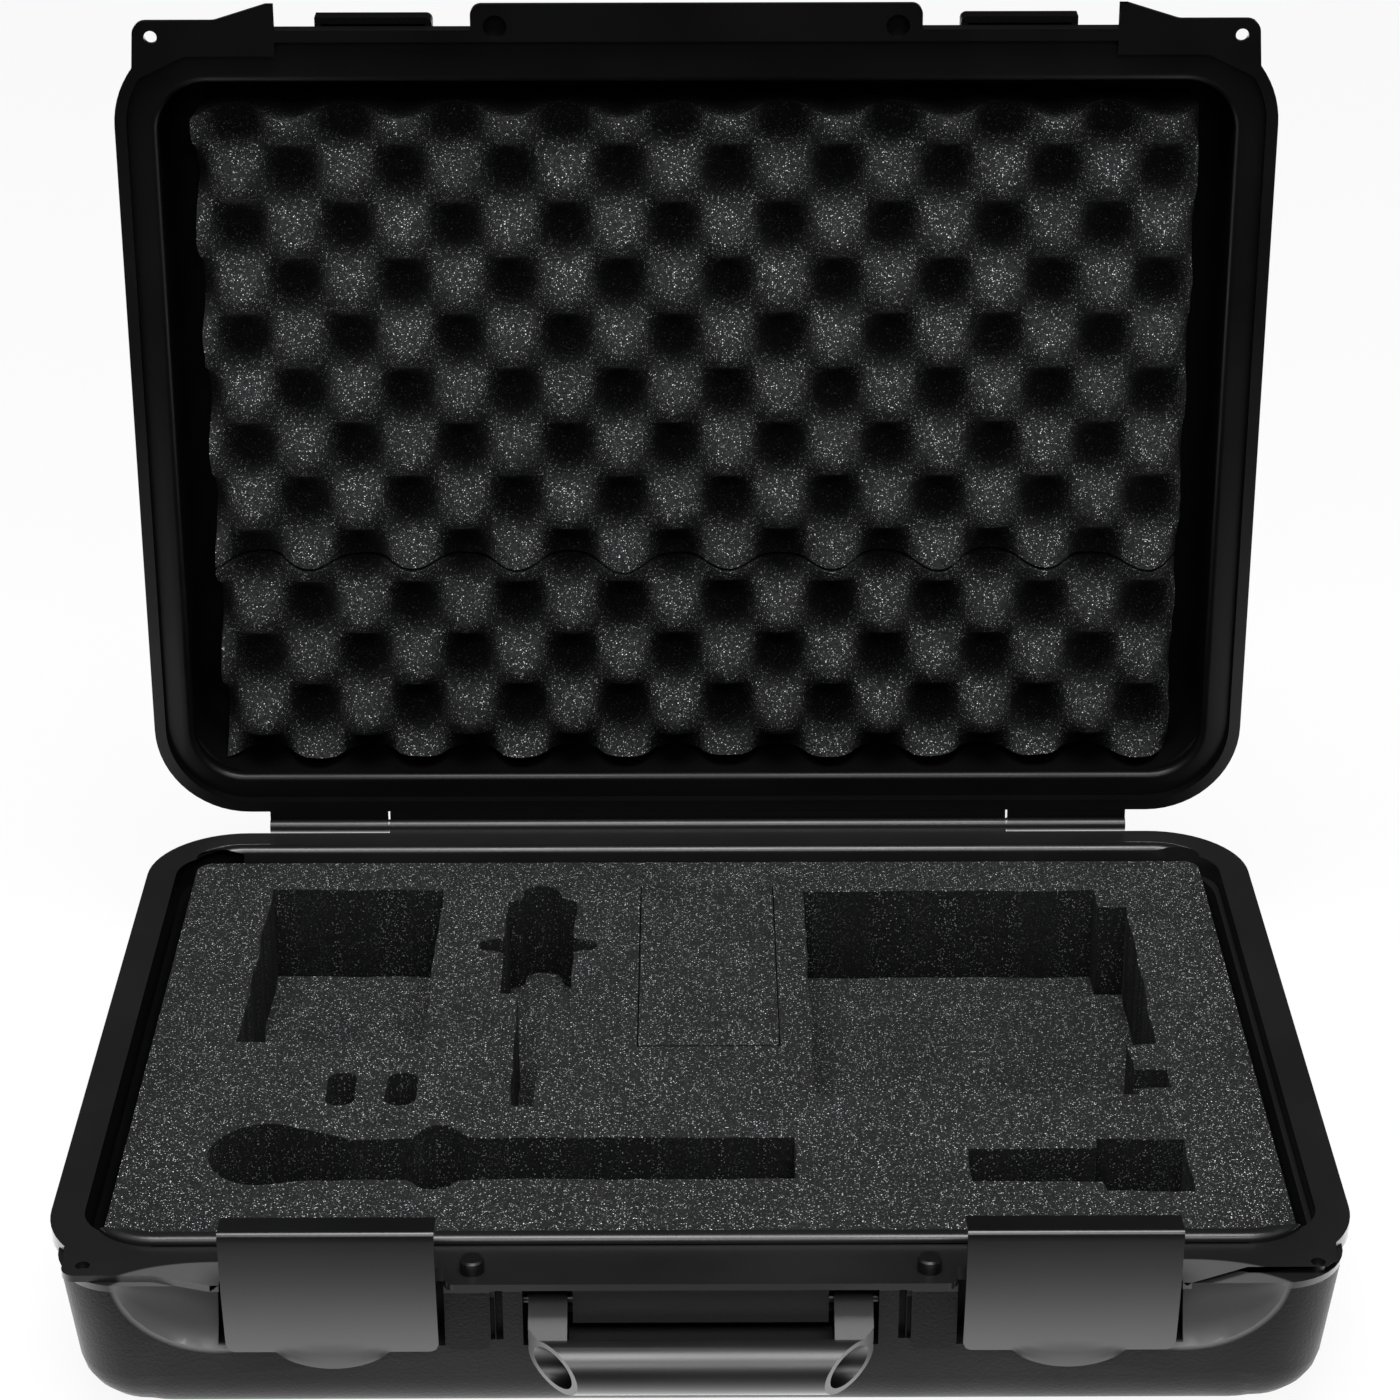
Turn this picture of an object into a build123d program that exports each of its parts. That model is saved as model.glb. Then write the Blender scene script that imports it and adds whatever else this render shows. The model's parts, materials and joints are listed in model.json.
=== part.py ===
from build123d import *
from math import cos, radians, sin
import os

os.makedirs("parts", exist_ok=True)

# All sizes are in millimetres. X runs along the case, Y from the handle to the hinge, Z up.
# The origin is the middle of the underside. The lid is drawn standing open at a right angle.

# Outline shared by the two shells
rim_width = 538
rim_depth = 397
rim_corner = 45
rim_thick = 6
wall = 4
wall_inset = 12
draft = 4
base_height = 70
lid_height = 50
bottom_round = 22
top_round = 16

# Front of the base: a bulging lower band with a recessed strip above it
band_bulge = 7.5
ledge_drop = 33
recess_sink = 8.5
latch_from_side = 120
scoop_from_side = 32
scoop_corner = 34
scoop_slope = 35
scoop_lap = 40
bay_gap_inner = 2.5
bay_gap_outer = 4
hollow_reach = 25

# Front flanges: a middle plate over the handle and an ear at each corner
flange_thick = 3
middle_jut = 12
middle_corner = 5
middle_lap = 12
ear_jut = 0.5
ear_lap = 12
ear_gap = 1.4
ear_tip_width = 3.6
ear_ramp_width = 24
ear_from_side = 11
lock_hole_from_side = 19
lock_hole_from_front = 3
lock_hole_radius = 3

# Sealing lip that stands on the base rim
lip_inset = 17
lip_width = 8
lip_height = 3.5
lip_round = 3

# Lid rim: an outer skirt, then a sunken band that covers the lip
skirt_width = 5.5
band_sink = 4
mouth_side = 28
mouth_front = 26
mouth_back = 20
mouth_corner = 18
mouth_round = 3.5

# Hinge along the back edge
hinge_gap = 8
knuckle_radius = 3.5
base_knuckle_from_side = 115
knuckle_gap = 1
lid_knuckle_from_side = 55
hinge_pin_radius = 1.5
hinge_pin_hold = 34
hinge_pin_end_gap = 2
running_gap = 0.05
stop_leaf_thick = 3
stop_leaf_gap = 0.2
web_clear = 0.3

# Draw latches: a link on the base carries a wide plate whose lip hooks over the lid's catch
latch_width = 86
latch_thick = 2.5
link_length = 14
link_radius = 3.5
link_half = 20
link_pivot_stand = 5.5
link_pivot_drop = 10
link_rest_swing = 14
plate_rest_lean = 8.4
latch_pin_radius = 1.5
post_inner = 21.5
post_outer = 26.5
cheek_inner = 28
cheek_outer = 31
cheek_radius = 3.8
plate_front = 11.5
plate_bulge = 12.8
plate_crease = 51
plate_foot_front = 9
plate_foot = 7.5
lip_reach = 3
tab_half = 31
tab_drop = 5.5
tab_flare = 5

# Catch on the lid, below the latch plate's lip when shut
catch_half = 27
catch_jut = 2.5
catch_low = 14
catch_high = 24
catch_wall = 3

# Handle
arm_inner = 54
arm_outer = 70
arm_thick = 9
arm_pocket_gap = 2
handle_pivot_stand = 6
handle_pivot_drop = 16
handle_pin_radius = 2
handle_pin_hold = 6
grip_stand = 21.5
grip_drop = 35
grip_radius = 11
grip_wall = 2.5
grip_half = 68.5
grip_cut_reach = 17
panel_stand = 8
panel_slot_width = 3
panel_slot_depth = 4

# Alignment pegs and their sockets
peg_from_bay = 11.2
peg_from_edge = 10.5
peg_radius = 5
peg_height = 6
peg_bevel = 0.8
peg_stem_radius = 3
peg_stem_length = 2.5
socket_gap = 0.4
socket_depth = 7
socket_wall = 2

# Foam
foam_gap = 0.3
foam_top_drop = 4
foam_floor_thick = 14
foam_edge_round = 12
foam_floor_ease = 8
lid_foam_gap = 4
lid_foam_lift = 6
lid_foam_drop = 31
lid_foam_seam = 135
seam_gap = 0.4
lid_foam_back = 18
lid_foam_ease = 12.5
crate_pitch = 51.2
crate_first_row = 26
crate_shift = 15
crate_height = 19
crate_foot = 34
crate_shoulder = 25
crate_shoulder_rise = 13
crate_top = 13

# Cut-outs in the base foam
receiver_left = 51
receiver_right = 192
receiver_front = -53.5
receiver_back = 141
channel_width = 14
channel_mid_y = 57
channel_length = 133
hole_mid_y = -40.5
hole_length = 18
pack_x = -166
pack_y = 69.5
pack_width = 84
pack_depth = 150
clip_x = -75.5
clip_top = 138
clip_top_radius = 10
clip_width = 33
clip_foot = 39.5
clip_wing_y = 86.5
clip_wing_width = 53.5
clip_wing_depth = 11
cable_width = 11
cable_foot = -63.5
well_left_x = -157.8
well_right_x = -131.3
well_y = -47.5
well_width = 13
well_length = 28
mic_head_x = -185.6
mic_head_y = -102.5
mic_head_radius = 25
mic_neck_x = -150
mic_ring_x = -112.5
mic_ring_width = 21
mic_ring_back = -79
mic_ring_front = -130.5
mic_ring_round = 8
mic_body_back = -90
mic_body_front = -123
mic_end = 41
tool_left = 114.5
tool_step = 170
tool_right = 208
tool_y = -113
tool_neck_depth = 26
tool_head_depth = 42
plug_x = 4.3
plug_y = 68
plug_width = 64.5
plug_depth = 157
plug_gap = 0.2

# Values worked out from the ones above
half_depth = rim_depth / 2
hinge_y = half_depth + hinge_gap
band_front = half_depth + band_bulge
recess_y = half_depth - recess_sink
middle_reach = half_depth + middle_jut
ear_reach = half_depth + ear_jut
lock_hole_y = half_depth - lock_hole_from_front
link_pivot_y = recess_y + link_pivot_stand
handle_pivot_y = recess_y + handle_pivot_stand
grip_y = handle_pivot_y + grip_stand
panel_y = recess_y + panel_stand
peg_y = middle_reach - peg_from_edge
catch_reach = hinge_gap + rim_depth + catch_jut
lid_foam_low = hinge_gap + mouth_back + lid_foam_lift
lid_foam_high = hinge_gap + rim_depth - lid_foam_drop
crate_rows = int((lid_foam_high - crate_first_row) / (crate_pitch / 2))
hinge_z = base_height
half_width = rim_width / 2
latch_x = half_width - latch_from_side
bay_inner = latch_x - latch_width / 2 - bay_gap_inner
bay_outer = latch_x + latch_width / 2 + bay_gap_outer
scoop_end = half_width - scoop_from_side
middle_half = bay_inner
ear_inner = latch_x + latch_width / 2 + ear_gap
ear_ramp_top = ear_inner + ear_tip_width
ear_ramp_foot = ear_ramp_top + ear_ramp_width
ear_outer = half_width - ear_from_side
ear_tip_reach = middle_reach
lock_hole_x = half_width - lock_hole_from_side
base_knuckle_half = half_width - base_knuckle_from_side
lid_knuckle_end = half_width - lid_knuckle_from_side
hinge_pin_inner = base_knuckle_half - hinge_pin_hold
ledge_z = base_height - ledge_drop
link_pivot_z = base_height - link_pivot_drop
handle_pivot_z = base_height - handle_pivot_drop
grip_z = base_height - grip_drop
foam_top = base_height - foam_top_drop
peg_x = bay_inner - peg_from_bay
panel_slot_x = (arm_outer + arm_pocket_gap + bay_inner) / 2 - panel_slot_width
lid_foam_half = half_width - mouth_side - lid_foam_gap
rim_under = base_height - rim_thick
body_width = rim_width - 2 * wall_inset
body_depth = band_front + half_depth - wall_inset
body_mid_y = (half_depth - wall_inset - band_front) / 2
body_corner = rim_corner - 5
inner_corner = body_corner - wall
inner_front = recess_y - wall + 0.5
inner_depth = inner_front + half_depth - wall_inset - wall
inner_mid_y = (half_depth - wall_inset - wall - inner_front) / 2
lip_inner = lip_inset + lip_width
lid_body_depth = rim_depth - 2 * wall_inset
lid_mid = hinge_gap + half_depth
lid_body_front = lid_mid + half_depth - wall_inset
lid_rim_thick = rim_thick + 2
arm_length = ((grip_y - handle_pivot_y) ** 2 + (handle_pivot_z - grip_z) ** 2) ** 0.5
arm_nx = arm_thick / 2 * (handle_pivot_z - grip_z) / arm_length
arm_nz = arm_thick / 2 * (grip_y - handle_pivot_y) / arm_length
plate_lean = radians(plate_rest_lean)
link_swing = radians(link_rest_swing)
plate_pivot_y = -link_pivot_y - link_length * sin(link_swing)
plate_pivot_z = link_pivot_z - link_length * cos(link_swing)


def lid_plane(depth):
    # A plane in the open lid, parallel to its rim and the given depth behind it, seen from the front.
    # Its x is the case's X and its y is the distance from the hinge axis.
    return Plane(origin=(0, hinge_y + depth, hinge_z), x_dir=(1, 0, 0), z_dir=(0, -1, 0))


def ear_outline(side, from_hinge=0):
    # Outline of one ear, from the rim's corner to the gap that the latch fills, turned over for the lid
    turn = 1 if from_hinge else -1
    start = from_hinge if from_hinge else 0
    return Polyline(
        (side * ear_inner, start + turn * (half_depth - ear_lap)),
        (side * ear_inner, start + turn * ear_tip_reach),
        (side * ear_ramp_top, start + turn * ear_tip_reach),
        (side * ear_ramp_foot, start + turn * ear_reach),
        (side * (ear_outer - 5), start + turn * ear_reach),
        (side * ear_outer, start + turn * (ear_reach - 5)),
        (side * (ear_outer + 2), start + turn * (half_depth - 2 * ear_lap)),
        (side * (ear_outer - 23), start + turn * (half_depth - ear_lap)),
        close=True,
        mode=Mode.PRIVATE,
    )


# Room inside the base's tub
with BuildPart() as tub_space:
    with BuildSketch(Plane.XY.offset(wall)):
        with Locations((0, inner_mid_y)):
            RectangleRounded(body_width - 2 * wall - 2 * draft, inner_depth - 2 * draft, inner_corner - draft)
    with BuildSketch(Plane.XY.offset(rim_under)):
        with Locations((0, inner_mid_y)):
            RectangleRounded(body_width - 2 * wall, inner_depth, inner_corner)
    loft()
    fillet(tub_space.faces().sort_by(Axis.Z)[0].edges(), bottom_round - wall)

# Base shell
with BuildPart() as base_shell:
    with BuildSketch(Plane.XY):
        with Locations((0, body_mid_y)):
            RectangleRounded(body_width - 2 * draft, body_depth - 2 * draft, body_corner - draft)
    with BuildSketch(Plane.XY.offset(rim_under)):
        with Locations((0, body_mid_y)):
            RectangleRounded(body_width, body_depth, body_corner)
    loft()
    fillet(base_shell.faces().sort_by(Axis.Z)[0].edges(), bottom_round)

    # Inside of the tub
    add(tub_space.part, mode=Mode.SUBTRACT)

    # Latch bays, scooped ends and the handle's bay, all cut back from the front
    for side in (-1, 1):
        with BuildSketch(Plane.XZ.offset(band_front)):
            with Locations((side * (bay_inner + bay_outer) / 2, (ledge_z + base_height) / 2)):
                Rectangle(bay_outer - bay_inner, base_height - ledge_z)
        extrude(amount=-(band_front - recess_y), mode=Mode.SUBTRACT)
        with BuildSketch(Plane.XZ.offset(band_front)) as scoop:
            with BuildLine():
                Polyline(
                    (side * (bay_outer - scoop_lap), ledge_z),
                    (side * scoop_end, ledge_z),
                    (side * scoop_end, base_height + 30),
                    (side * (bay_outer - scoop_lap), base_height + 30),
                    close=True,
                )
            make_face()
            fillet(scoop.vertices().sort_by(Axis.Z)[:2].sort_by(Axis.X)[-1 if side > 0 else 0], scoop_corner)
        extrude(amount=-(band_front - recess_y), taper=scoop_slope, mode=Mode.SUBTRACT)
        with BuildSketch(Plane.XZ.offset(band_front)):
            with Locations((side * (arm_inner + arm_outer) / 2, (ledge_z + base_height) / 2)):
                Rectangle(arm_outer - arm_inner + 2 * arm_pocket_gap, base_height - ledge_z)
        extrude(amount=-(band_front - recess_y), mode=Mode.SUBTRACT)
        with BuildSketch(Plane.XZ.offset(band_front)):
            with Locations((side * panel_slot_x, (ledge_z + rim_under) / 2)):
                Rectangle(panel_slot_width, rim_under - ledge_z - 6)
        extrude(amount=-panel_slot_depth, mode=Mode.SUBTRACT)
    with BuildSketch(Plane.XZ.offset(band_front)):
        with Locations((0, (ledge_z + base_height) / 2)):
            Rectangle(2 * arm_inner, base_height - ledge_z)
    extrude(amount=-(band_front - panel_y), mode=Mode.SUBTRACT)

    # Rim flange with its ears and middle plate
    with BuildSketch(Plane.XY.offset(rim_under)):
        RectangleRounded(rim_width, rim_depth, rim_corner)
    extrude(amount=rim_thick)
    for side in (-1, 1):
        with BuildSketch(Plane.XY.offset(base_height - flange_thick)):
            with BuildLine():
                add(ear_outline(side))
            make_face()
        extrude(amount=flange_thick)
    with BuildSketch(Plane.XY.offset(base_height - flange_thick)):
        with Locations((0, middle_lap - middle_reach)):
            RectangleRounded(2 * middle_half, 2 * middle_lap, middle_corner)
    extrude(amount=flange_thick)

    # Hollow behind the front band and the mouth through the rim
    with BuildSketch(Plane.XY.offset(ledge_z - wall)):
        with Locations((0, -(inner_front + band_front - 2 * wall) / 2)):
            Rectangle(2 * (bay_outer + hollow_reach), band_front - 2 * wall - inner_front + 6)
    extrude(amount=-(ledge_z - bottom_round + 1), mode=Mode.SUBTRACT)
    with BuildSketch(Plane.XY.offset(base_height)):
        RectangleRounded(rim_width - 2 * lip_inner, rim_depth - 2 * lip_inner, rim_corner - lip_inner)
    extrude(amount=-rim_thick, mode=Mode.SUBTRACT)

    # Sealing lip, rounded along its top
    with BuildSketch(Plane.XY.offset(base_height)):
        RectangleRounded(rim_width - 2 * lip_inset, rim_depth - 2 * lip_inset, rim_corner - lip_inset)
        RectangleRounded(
            rim_width - 2 * lip_inner,
            rim_depth - 2 * lip_inner,
            rim_corner - lip_inner,
            mode=Mode.SUBTRACT,
        )
    extrude(amount=lip_height)
    fillet(base_shell.faces().sort_by(Axis.Z)[-1].edges(), lip_round)

    # Hinge knuckle, its web and the leaf that stops the open lid
    with BuildSketch(Plane.YZ.offset(-base_knuckle_half)):
        with Locations((hinge_y, hinge_z)):
            Circle(knuckle_radius)
        with Locations((hinge_y - hinge_gap / 2 - 1, hinge_z - (knuckle_radius + web_clear) / 2)):
            Rectangle(hinge_gap + 2, knuckle_radius - web_clear)
    extrude(amount=2 * base_knuckle_half)
    with BuildSketch(Plane.XZ.offset(-hinge_y)):
        with Locations((0, hinge_z + (hinge_gap - stop_leaf_gap) / 2)):
            Rectangle(2 * base_knuckle_half, hinge_gap - stop_leaf_gap)
    extrude(amount=-stop_leaf_thick)
    for side in (-1, 1):
        with BuildSketch(Plane.YZ.offset(side * base_knuckle_half)):
            with Locations((hinge_y, hinge_z)):
                Circle(hinge_pin_radius)
        extrude(amount=-side * (base_knuckle_half - hinge_pin_inner), mode=Mode.SUBTRACT)

        # Posts that hold the latch link's pin
        for post_side in (-1, 1):
            post_x = side * latch_x + post_side * (post_inner + post_outer) / 2
            with BuildSketch(Plane.YZ.offset(post_x)):
                with Locations((-link_pivot_y, link_pivot_z)):
                    Circle(link_radius)
                with Locations((-(link_pivot_y + recess_y) / 2, link_pivot_z)):
                    Rectangle(link_pivot_y - recess_y, 2 * link_radius)
                with Locations((-link_pivot_y, (link_pivot_z + rim_under) / 2)):
                    Rectangle(2 * link_radius, rim_under - link_pivot_z)
            extrude(amount=(post_outer - post_inner) / 2, both=True)
        with BuildSketch(Plane.YZ.offset(side * latch_x)):
            with Locations((-link_pivot_y, link_pivot_z)):
                Circle(latch_pin_radius)
        extrude(amount=post_outer, both=True, mode=Mode.SUBTRACT)

        # Bores for the handle's pins, the peg's hole and the padlock hole
        with BuildSketch(Plane.YZ.offset(side * (arm_inner + arm_outer) / 2)):
            with Locations((-handle_pivot_y, handle_pivot_z)):
                Circle(handle_pin_radius)
        extrude(
            amount=(arm_outer - arm_inner) / 2 + arm_pocket_gap + handle_pin_hold,
            both=True,
            mode=Mode.SUBTRACT,
        )
        with BuildSketch(Plane.XY.offset(base_height)):
            with Locations((side * peg_x, -peg_y)):
                Circle(peg_stem_radius)
        extrude(amount=-peg_stem_length, mode=Mode.SUBTRACT)
        with BuildSketch(Plane.XY.offset(base_height)):
            with Locations((side * lock_hole_x, -lock_hole_y)):
                Circle(lock_hole_radius)
        extrude(amount=-rim_thick, mode=Mode.SUBTRACT)
base_shell.part.label = "base_shell"
export_step(base_shell.part, "parts/base_shell.step")

# Room inside the lid
with BuildPart() as lid_space:
    with BuildSketch(lid_plane(rim_thick)):
        with Locations((0, lid_mid)):
            RectangleRounded(body_width - 2 * wall, lid_body_depth - 2 * wall, inner_corner)
    with BuildSketch(lid_plane(lid_height - wall)):
        with Locations((0, lid_mid)):
            RectangleRounded(
                body_width - 2 * wall - 2 * draft,
                lid_body_depth - 2 * wall - 2 * draft,
                inner_corner - draft,
            )
    loft()
    fillet(lid_space.faces().sort_by(Axis.Y)[-1].edges(), top_round - wall)

# Lid shell, standing open
with BuildPart() as lid_shell:
    with BuildSketch(lid_plane(rim_thick)):
        with Locations((0, lid_mid)):
            RectangleRounded(body_width, lid_body_depth, body_corner)
    with BuildSketch(lid_plane(lid_height)):
        with Locations((0, lid_mid)):
            RectangleRounded(body_width - 2 * draft, lid_body_depth - 2 * draft, body_corner - draft)
    loft()
    fillet(lid_shell.faces().sort_by(Axis.Y)[-1].edges(), top_round)
    add(lid_space.part, mode=Mode.SUBTRACT)

    # Rim: skirt, sunken band and the mouth with its rounded edge
    with BuildSketch(lid_plane(0)):
        with Locations((0, lid_mid)):
            RectangleRounded(rim_width, rim_depth, rim_corner)
            RectangleRounded(
                rim_width - 2 * skirt_width,
                rim_depth - 2 * skirt_width,
                rim_corner - skirt_width,
                mode=Mode.SUBTRACT,
            )
    extrude(amount=-lid_rim_thick)
    with BuildSketch(lid_plane(band_sink)):
        with Locations((0, lid_mid)):
            RectangleRounded(rim_width - 2, rim_depth - 2, rim_corner - 1)
        with Locations((0, lid_mid + (mouth_back - mouth_front) / 2)):
            RectangleRounded(
                rim_width - 2 * mouth_side,
                rim_depth - mouth_back - mouth_front,
                mouth_corner,
                mode=Mode.SUBTRACT,
            )
    extrude(amount=-(lid_rim_thick - band_sink))
    mouth_edges = (
        lid_shell.edges()
        .filter_by_position(Axis.Y, hinge_y + band_sink - 0.1, hinge_y + band_sink + 0.1)
        .filter_by_position(Axis.X, -half_width + mouth_side - 1, half_width - mouth_side + 1)
        .filter_by_position(Axis.Z, hinge_z + mouth_back, hinge_z + lid_mid + half_depth - mouth_front + 1)
    )
    fillet(mouth_edges, mouth_round)

    # Ears, middle plate with its peg sockets, and a catch under each latch
    for side in (-1, 1):
        with BuildSketch(lid_plane(0)):
            with BuildLine():
                add(ear_outline(side, hinge_y))
            make_face()
        extrude(amount=-flange_thick)
    with BuildSketch(lid_plane(0)):
        with Locations((0, hinge_y + middle_reach - middle_lap)):
            RectangleRounded(2 * middle_half, 2 * middle_lap, middle_corner)
    extrude(amount=-flange_thick)
    for side in (-1, 1):
        with BuildSketch(lid_plane(0)):
            with Locations((side * peg_x, hinge_y + peg_y)):
                Circle(peg_radius + socket_gap + socket_wall)
        extrude(amount=-(socket_depth + socket_wall))
        with BuildSketch(lid_plane(0)):
            with Locations((side * peg_x, hinge_y + peg_y)):
                Circle(peg_radius + socket_gap)
        extrude(amount=-socket_depth, mode=Mode.SUBTRACT)
        with BuildSketch(lid_plane(0)):
            with Locations((side * lock_hole_x, hinge_y + lock_hole_y)):
                Circle(lock_hole_radius)
        extrude(amount=-lid_rim_thick, mode=Mode.SUBTRACT)
        with BuildSketch(lid_plane(catch_low)) as catch:
            with Locations((side * latch_x, (catch_reach + lid_body_front - 2) / 2)):
                Rectangle(2 * catch_half, catch_reach - lid_body_front + 2)
            fillet(catch.vertices().sort_by(Axis.Z)[-2:], 3)
        extrude(amount=-(catch_high - catch_low))
        with BuildSketch(lid_plane(catch_low)):
            with Locations((side * latch_x, (catch_reach + lid_body_front - catch_wall) / 2)):
                Rectangle(2 * (catch_half - catch_wall), catch_reach - lid_body_front - catch_wall)
        extrude(amount=-(catch_high - catch_low - catch_wall), mode=Mode.SUBTRACT)

        # Hinge knuckles with their webs
        with BuildSketch(Plane.YZ.offset(side * (base_knuckle_half + knuckle_gap))):
            with Locations((hinge_y, hinge_z)):
                Circle(knuckle_radius)
            with Locations((hinge_y + (knuckle_radius + web_clear) / 2, hinge_z + hinge_gap / 2 + 1)):
                Rectangle(knuckle_radius - web_clear, hinge_gap + 2)
        extrude(amount=side * (lid_knuckle_end - base_knuckle_half - knuckle_gap))
        with BuildSketch(Plane.YZ.offset(side * base_knuckle_half)):
            with Locations((hinge_y, hinge_z)):
                Circle(hinge_pin_radius + running_gap)
        extrude(amount=side * (lid_knuckle_end - base_knuckle_half), mode=Mode.SUBTRACT)
lid_shell.part.label = "lid_shell"
export_step(lid_shell.part, "parts/lid_shell.step")

# Steel pins: two in the hinge, two in each latch, and one at each end of the handle
for side, hand in ((-1, "left"), (1, "right")):
    with BuildPart() as hinge_pin:
        with BuildSketch(Plane.YZ.offset(side * hinge_pin_inner)):
            with Locations((hinge_y, hinge_z)):
                Circle(hinge_pin_radius)
        extrude(amount=side * (lid_knuckle_end - hinge_pin_end_gap - hinge_pin_inner))
    hinge_pin.part.label = "hinge_pin_" + hand
    export_step(hinge_pin.part, "parts/hinge_pin_" + hand + ".step")

    with BuildPart() as latch_base_pin:
        with BuildSketch(Plane.YZ.offset(side * latch_x)):
            with Locations((-link_pivot_y, link_pivot_z)):
                Circle(latch_pin_radius)
        extrude(amount=post_outer, both=True)
    latch_base_pin.part.label = "latch_base_pin_" + hand
    export_step(latch_base_pin.part, "parts/latch_base_pin_" + hand + ".step")

    with BuildPart() as latch_link_pin:
        with BuildSketch(Plane.YZ.offset(side * latch_x)):
            with Locations((plate_pivot_y, plate_pivot_z)):
                Circle(latch_pin_radius)
        extrude(amount=cheek_outer, both=True)
    latch_link_pin.part.label = "latch_link_pin_" + hand
    export_step(latch_link_pin.part, "parts/latch_link_pin_" + hand + ".step")

    with BuildPart() as handle_pin:
        with BuildSketch(Plane.YZ.offset(side * (arm_inner + arm_outer) / 2)):
            with Locations((-handle_pivot_y, handle_pivot_z)):
                Circle(handle_pin_radius)
        extrude(amount=(arm_outer - arm_inner) / 2 + arm_pocket_gap + handle_pin_hold, both=True)
    handle_pin.part.label = "handle_pin_" + hand
    export_step(handle_pin.part, "parts/handle_pin_" + hand + ".step")

    # Alignment peg with a stem in the base's middle plate
    with BuildPart() as alignment_peg:
        with BuildSketch(Plane.XY.offset(base_height)):
            with Locations((side * peg_x, -peg_y)):
                Circle(peg_radius)
        extrude(amount=peg_height)
        chamfer(alignment_peg.edges().sort_by(Axis.Z)[-1], peg_bevel)
        with BuildSketch(Plane.XY.offset(base_height)):
            with Locations((side * peg_x, -peg_y)):
                Circle(peg_stem_radius)
        extrude(amount=-peg_stem_length)
    alignment_peg.part.label = "alignment_peg_" + hand
    export_step(alignment_peg.part, "parts/alignment_peg_" + hand + ".step")

    # Link between the base's posts and the plate's cheeks, hanging a little outward at rest
    link_plane = Plane(
        origin=(side * latch_x, -link_pivot_y, link_pivot_z),
        x_dir=(0, cos(link_swing), -sin(link_swing)),
        z_dir=(1, 0, 0),
    )
    with BuildPart() as latch_link:
        with BuildSketch(link_plane):
            with Locations((0, -link_length / 2)):
                SlotCenterToCenter(link_length, 2 * link_radius, rotation=90)
            with Locations((0, 0), (0, -link_length)):
                Circle(latch_pin_radius + running_gap, mode=Mode.SUBTRACT)
        extrude(amount=link_half, both=True)
    latch_link.part.label = "latch_link_" + hand
    export_step(latch_link.part, "parts/latch_link_" + hand + ".step")

    # Latch plate: bowed face, lip along the top, finger tab and two cheeks for the link's pin
    plate_plane = Plane(
        origin=(side * latch_x, plate_pivot_y, plate_pivot_z),
        x_dir=(0, cos(plate_lean), sin(plate_lean)),
        z_dir=(1, 0, 0),
    )
    with BuildPart() as latch_plate:
        with BuildSketch(plate_plane):
            with BuildLine():
                ThreePointArc(
                    (-plate_front, plate_crease),
                    (-plate_bulge, plate_crease / 2),
                    (-plate_foot_front, -plate_foot),
                )
                Line((-plate_foot_front, -plate_foot), (-plate_foot_front + latch_thick, -plate_foot))
                ThreePointArc(
                    (-plate_foot_front + latch_thick, -plate_foot),
                    (-plate_bulge + latch_thick, plate_crease / 2),
                    (-plate_front + latch_thick, plate_crease - latch_thick),
                )
                Line((-plate_front + latch_thick, plate_crease - latch_thick), (lip_reach, plate_crease - latch_thick))
                Line((lip_reach, plate_crease - latch_thick), (lip_reach, plate_crease))
                Line((lip_reach, plate_crease), (-plate_front, plate_crease))
            make_face()
        extrude(amount=latch_width / 2, both=True)
        for cheek_side in (-1, 1):
            with BuildSketch(plate_plane.offset(cheek_side * (cheek_inner + cheek_outer) / 2)):
                Circle(cheek_radius)
                with Locations((-(plate_bulge - latch_thick / 2) / 2, 0)):
                    Rectangle(plate_bulge - latch_thick / 2 - 1, 2 * cheek_radius)
            extrude(amount=(cheek_outer - cheek_inner) / 2, both=True)
        with BuildSketch(plate_plane):
            Circle(latch_pin_radius)
        extrude(amount=cheek_outer, both=True, mode=Mode.SUBTRACT)
        # Finger tab, a shallow crescent that flares away from the case
        tab_plane = Plane(
            origin=plate_plane.from_local_coords((-plate_foot_front + latch_thick / 2, -plate_foot + 2, 0)),
            x_dir=(1, 0, 0),
            z_dir=plate_plane.x_dir * cos(radians(35)) + plate_plane.y_dir * -sin(radians(35)),
        )
        with BuildSketch(tab_plane):
            with BuildLine():
                ThreePointArc((-tab_half, 0), (0, tab_drop + 2), (tab_half, 0))
                Line((tab_half, 0), (-tab_half, 0))
            make_face()
        extrude(amount=1, both=True)
    latch_plate.part.label = "latch_plate_" + hand
    export_step(latch_plate.part, "parts/latch_plate_" + hand + ".step")

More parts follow.
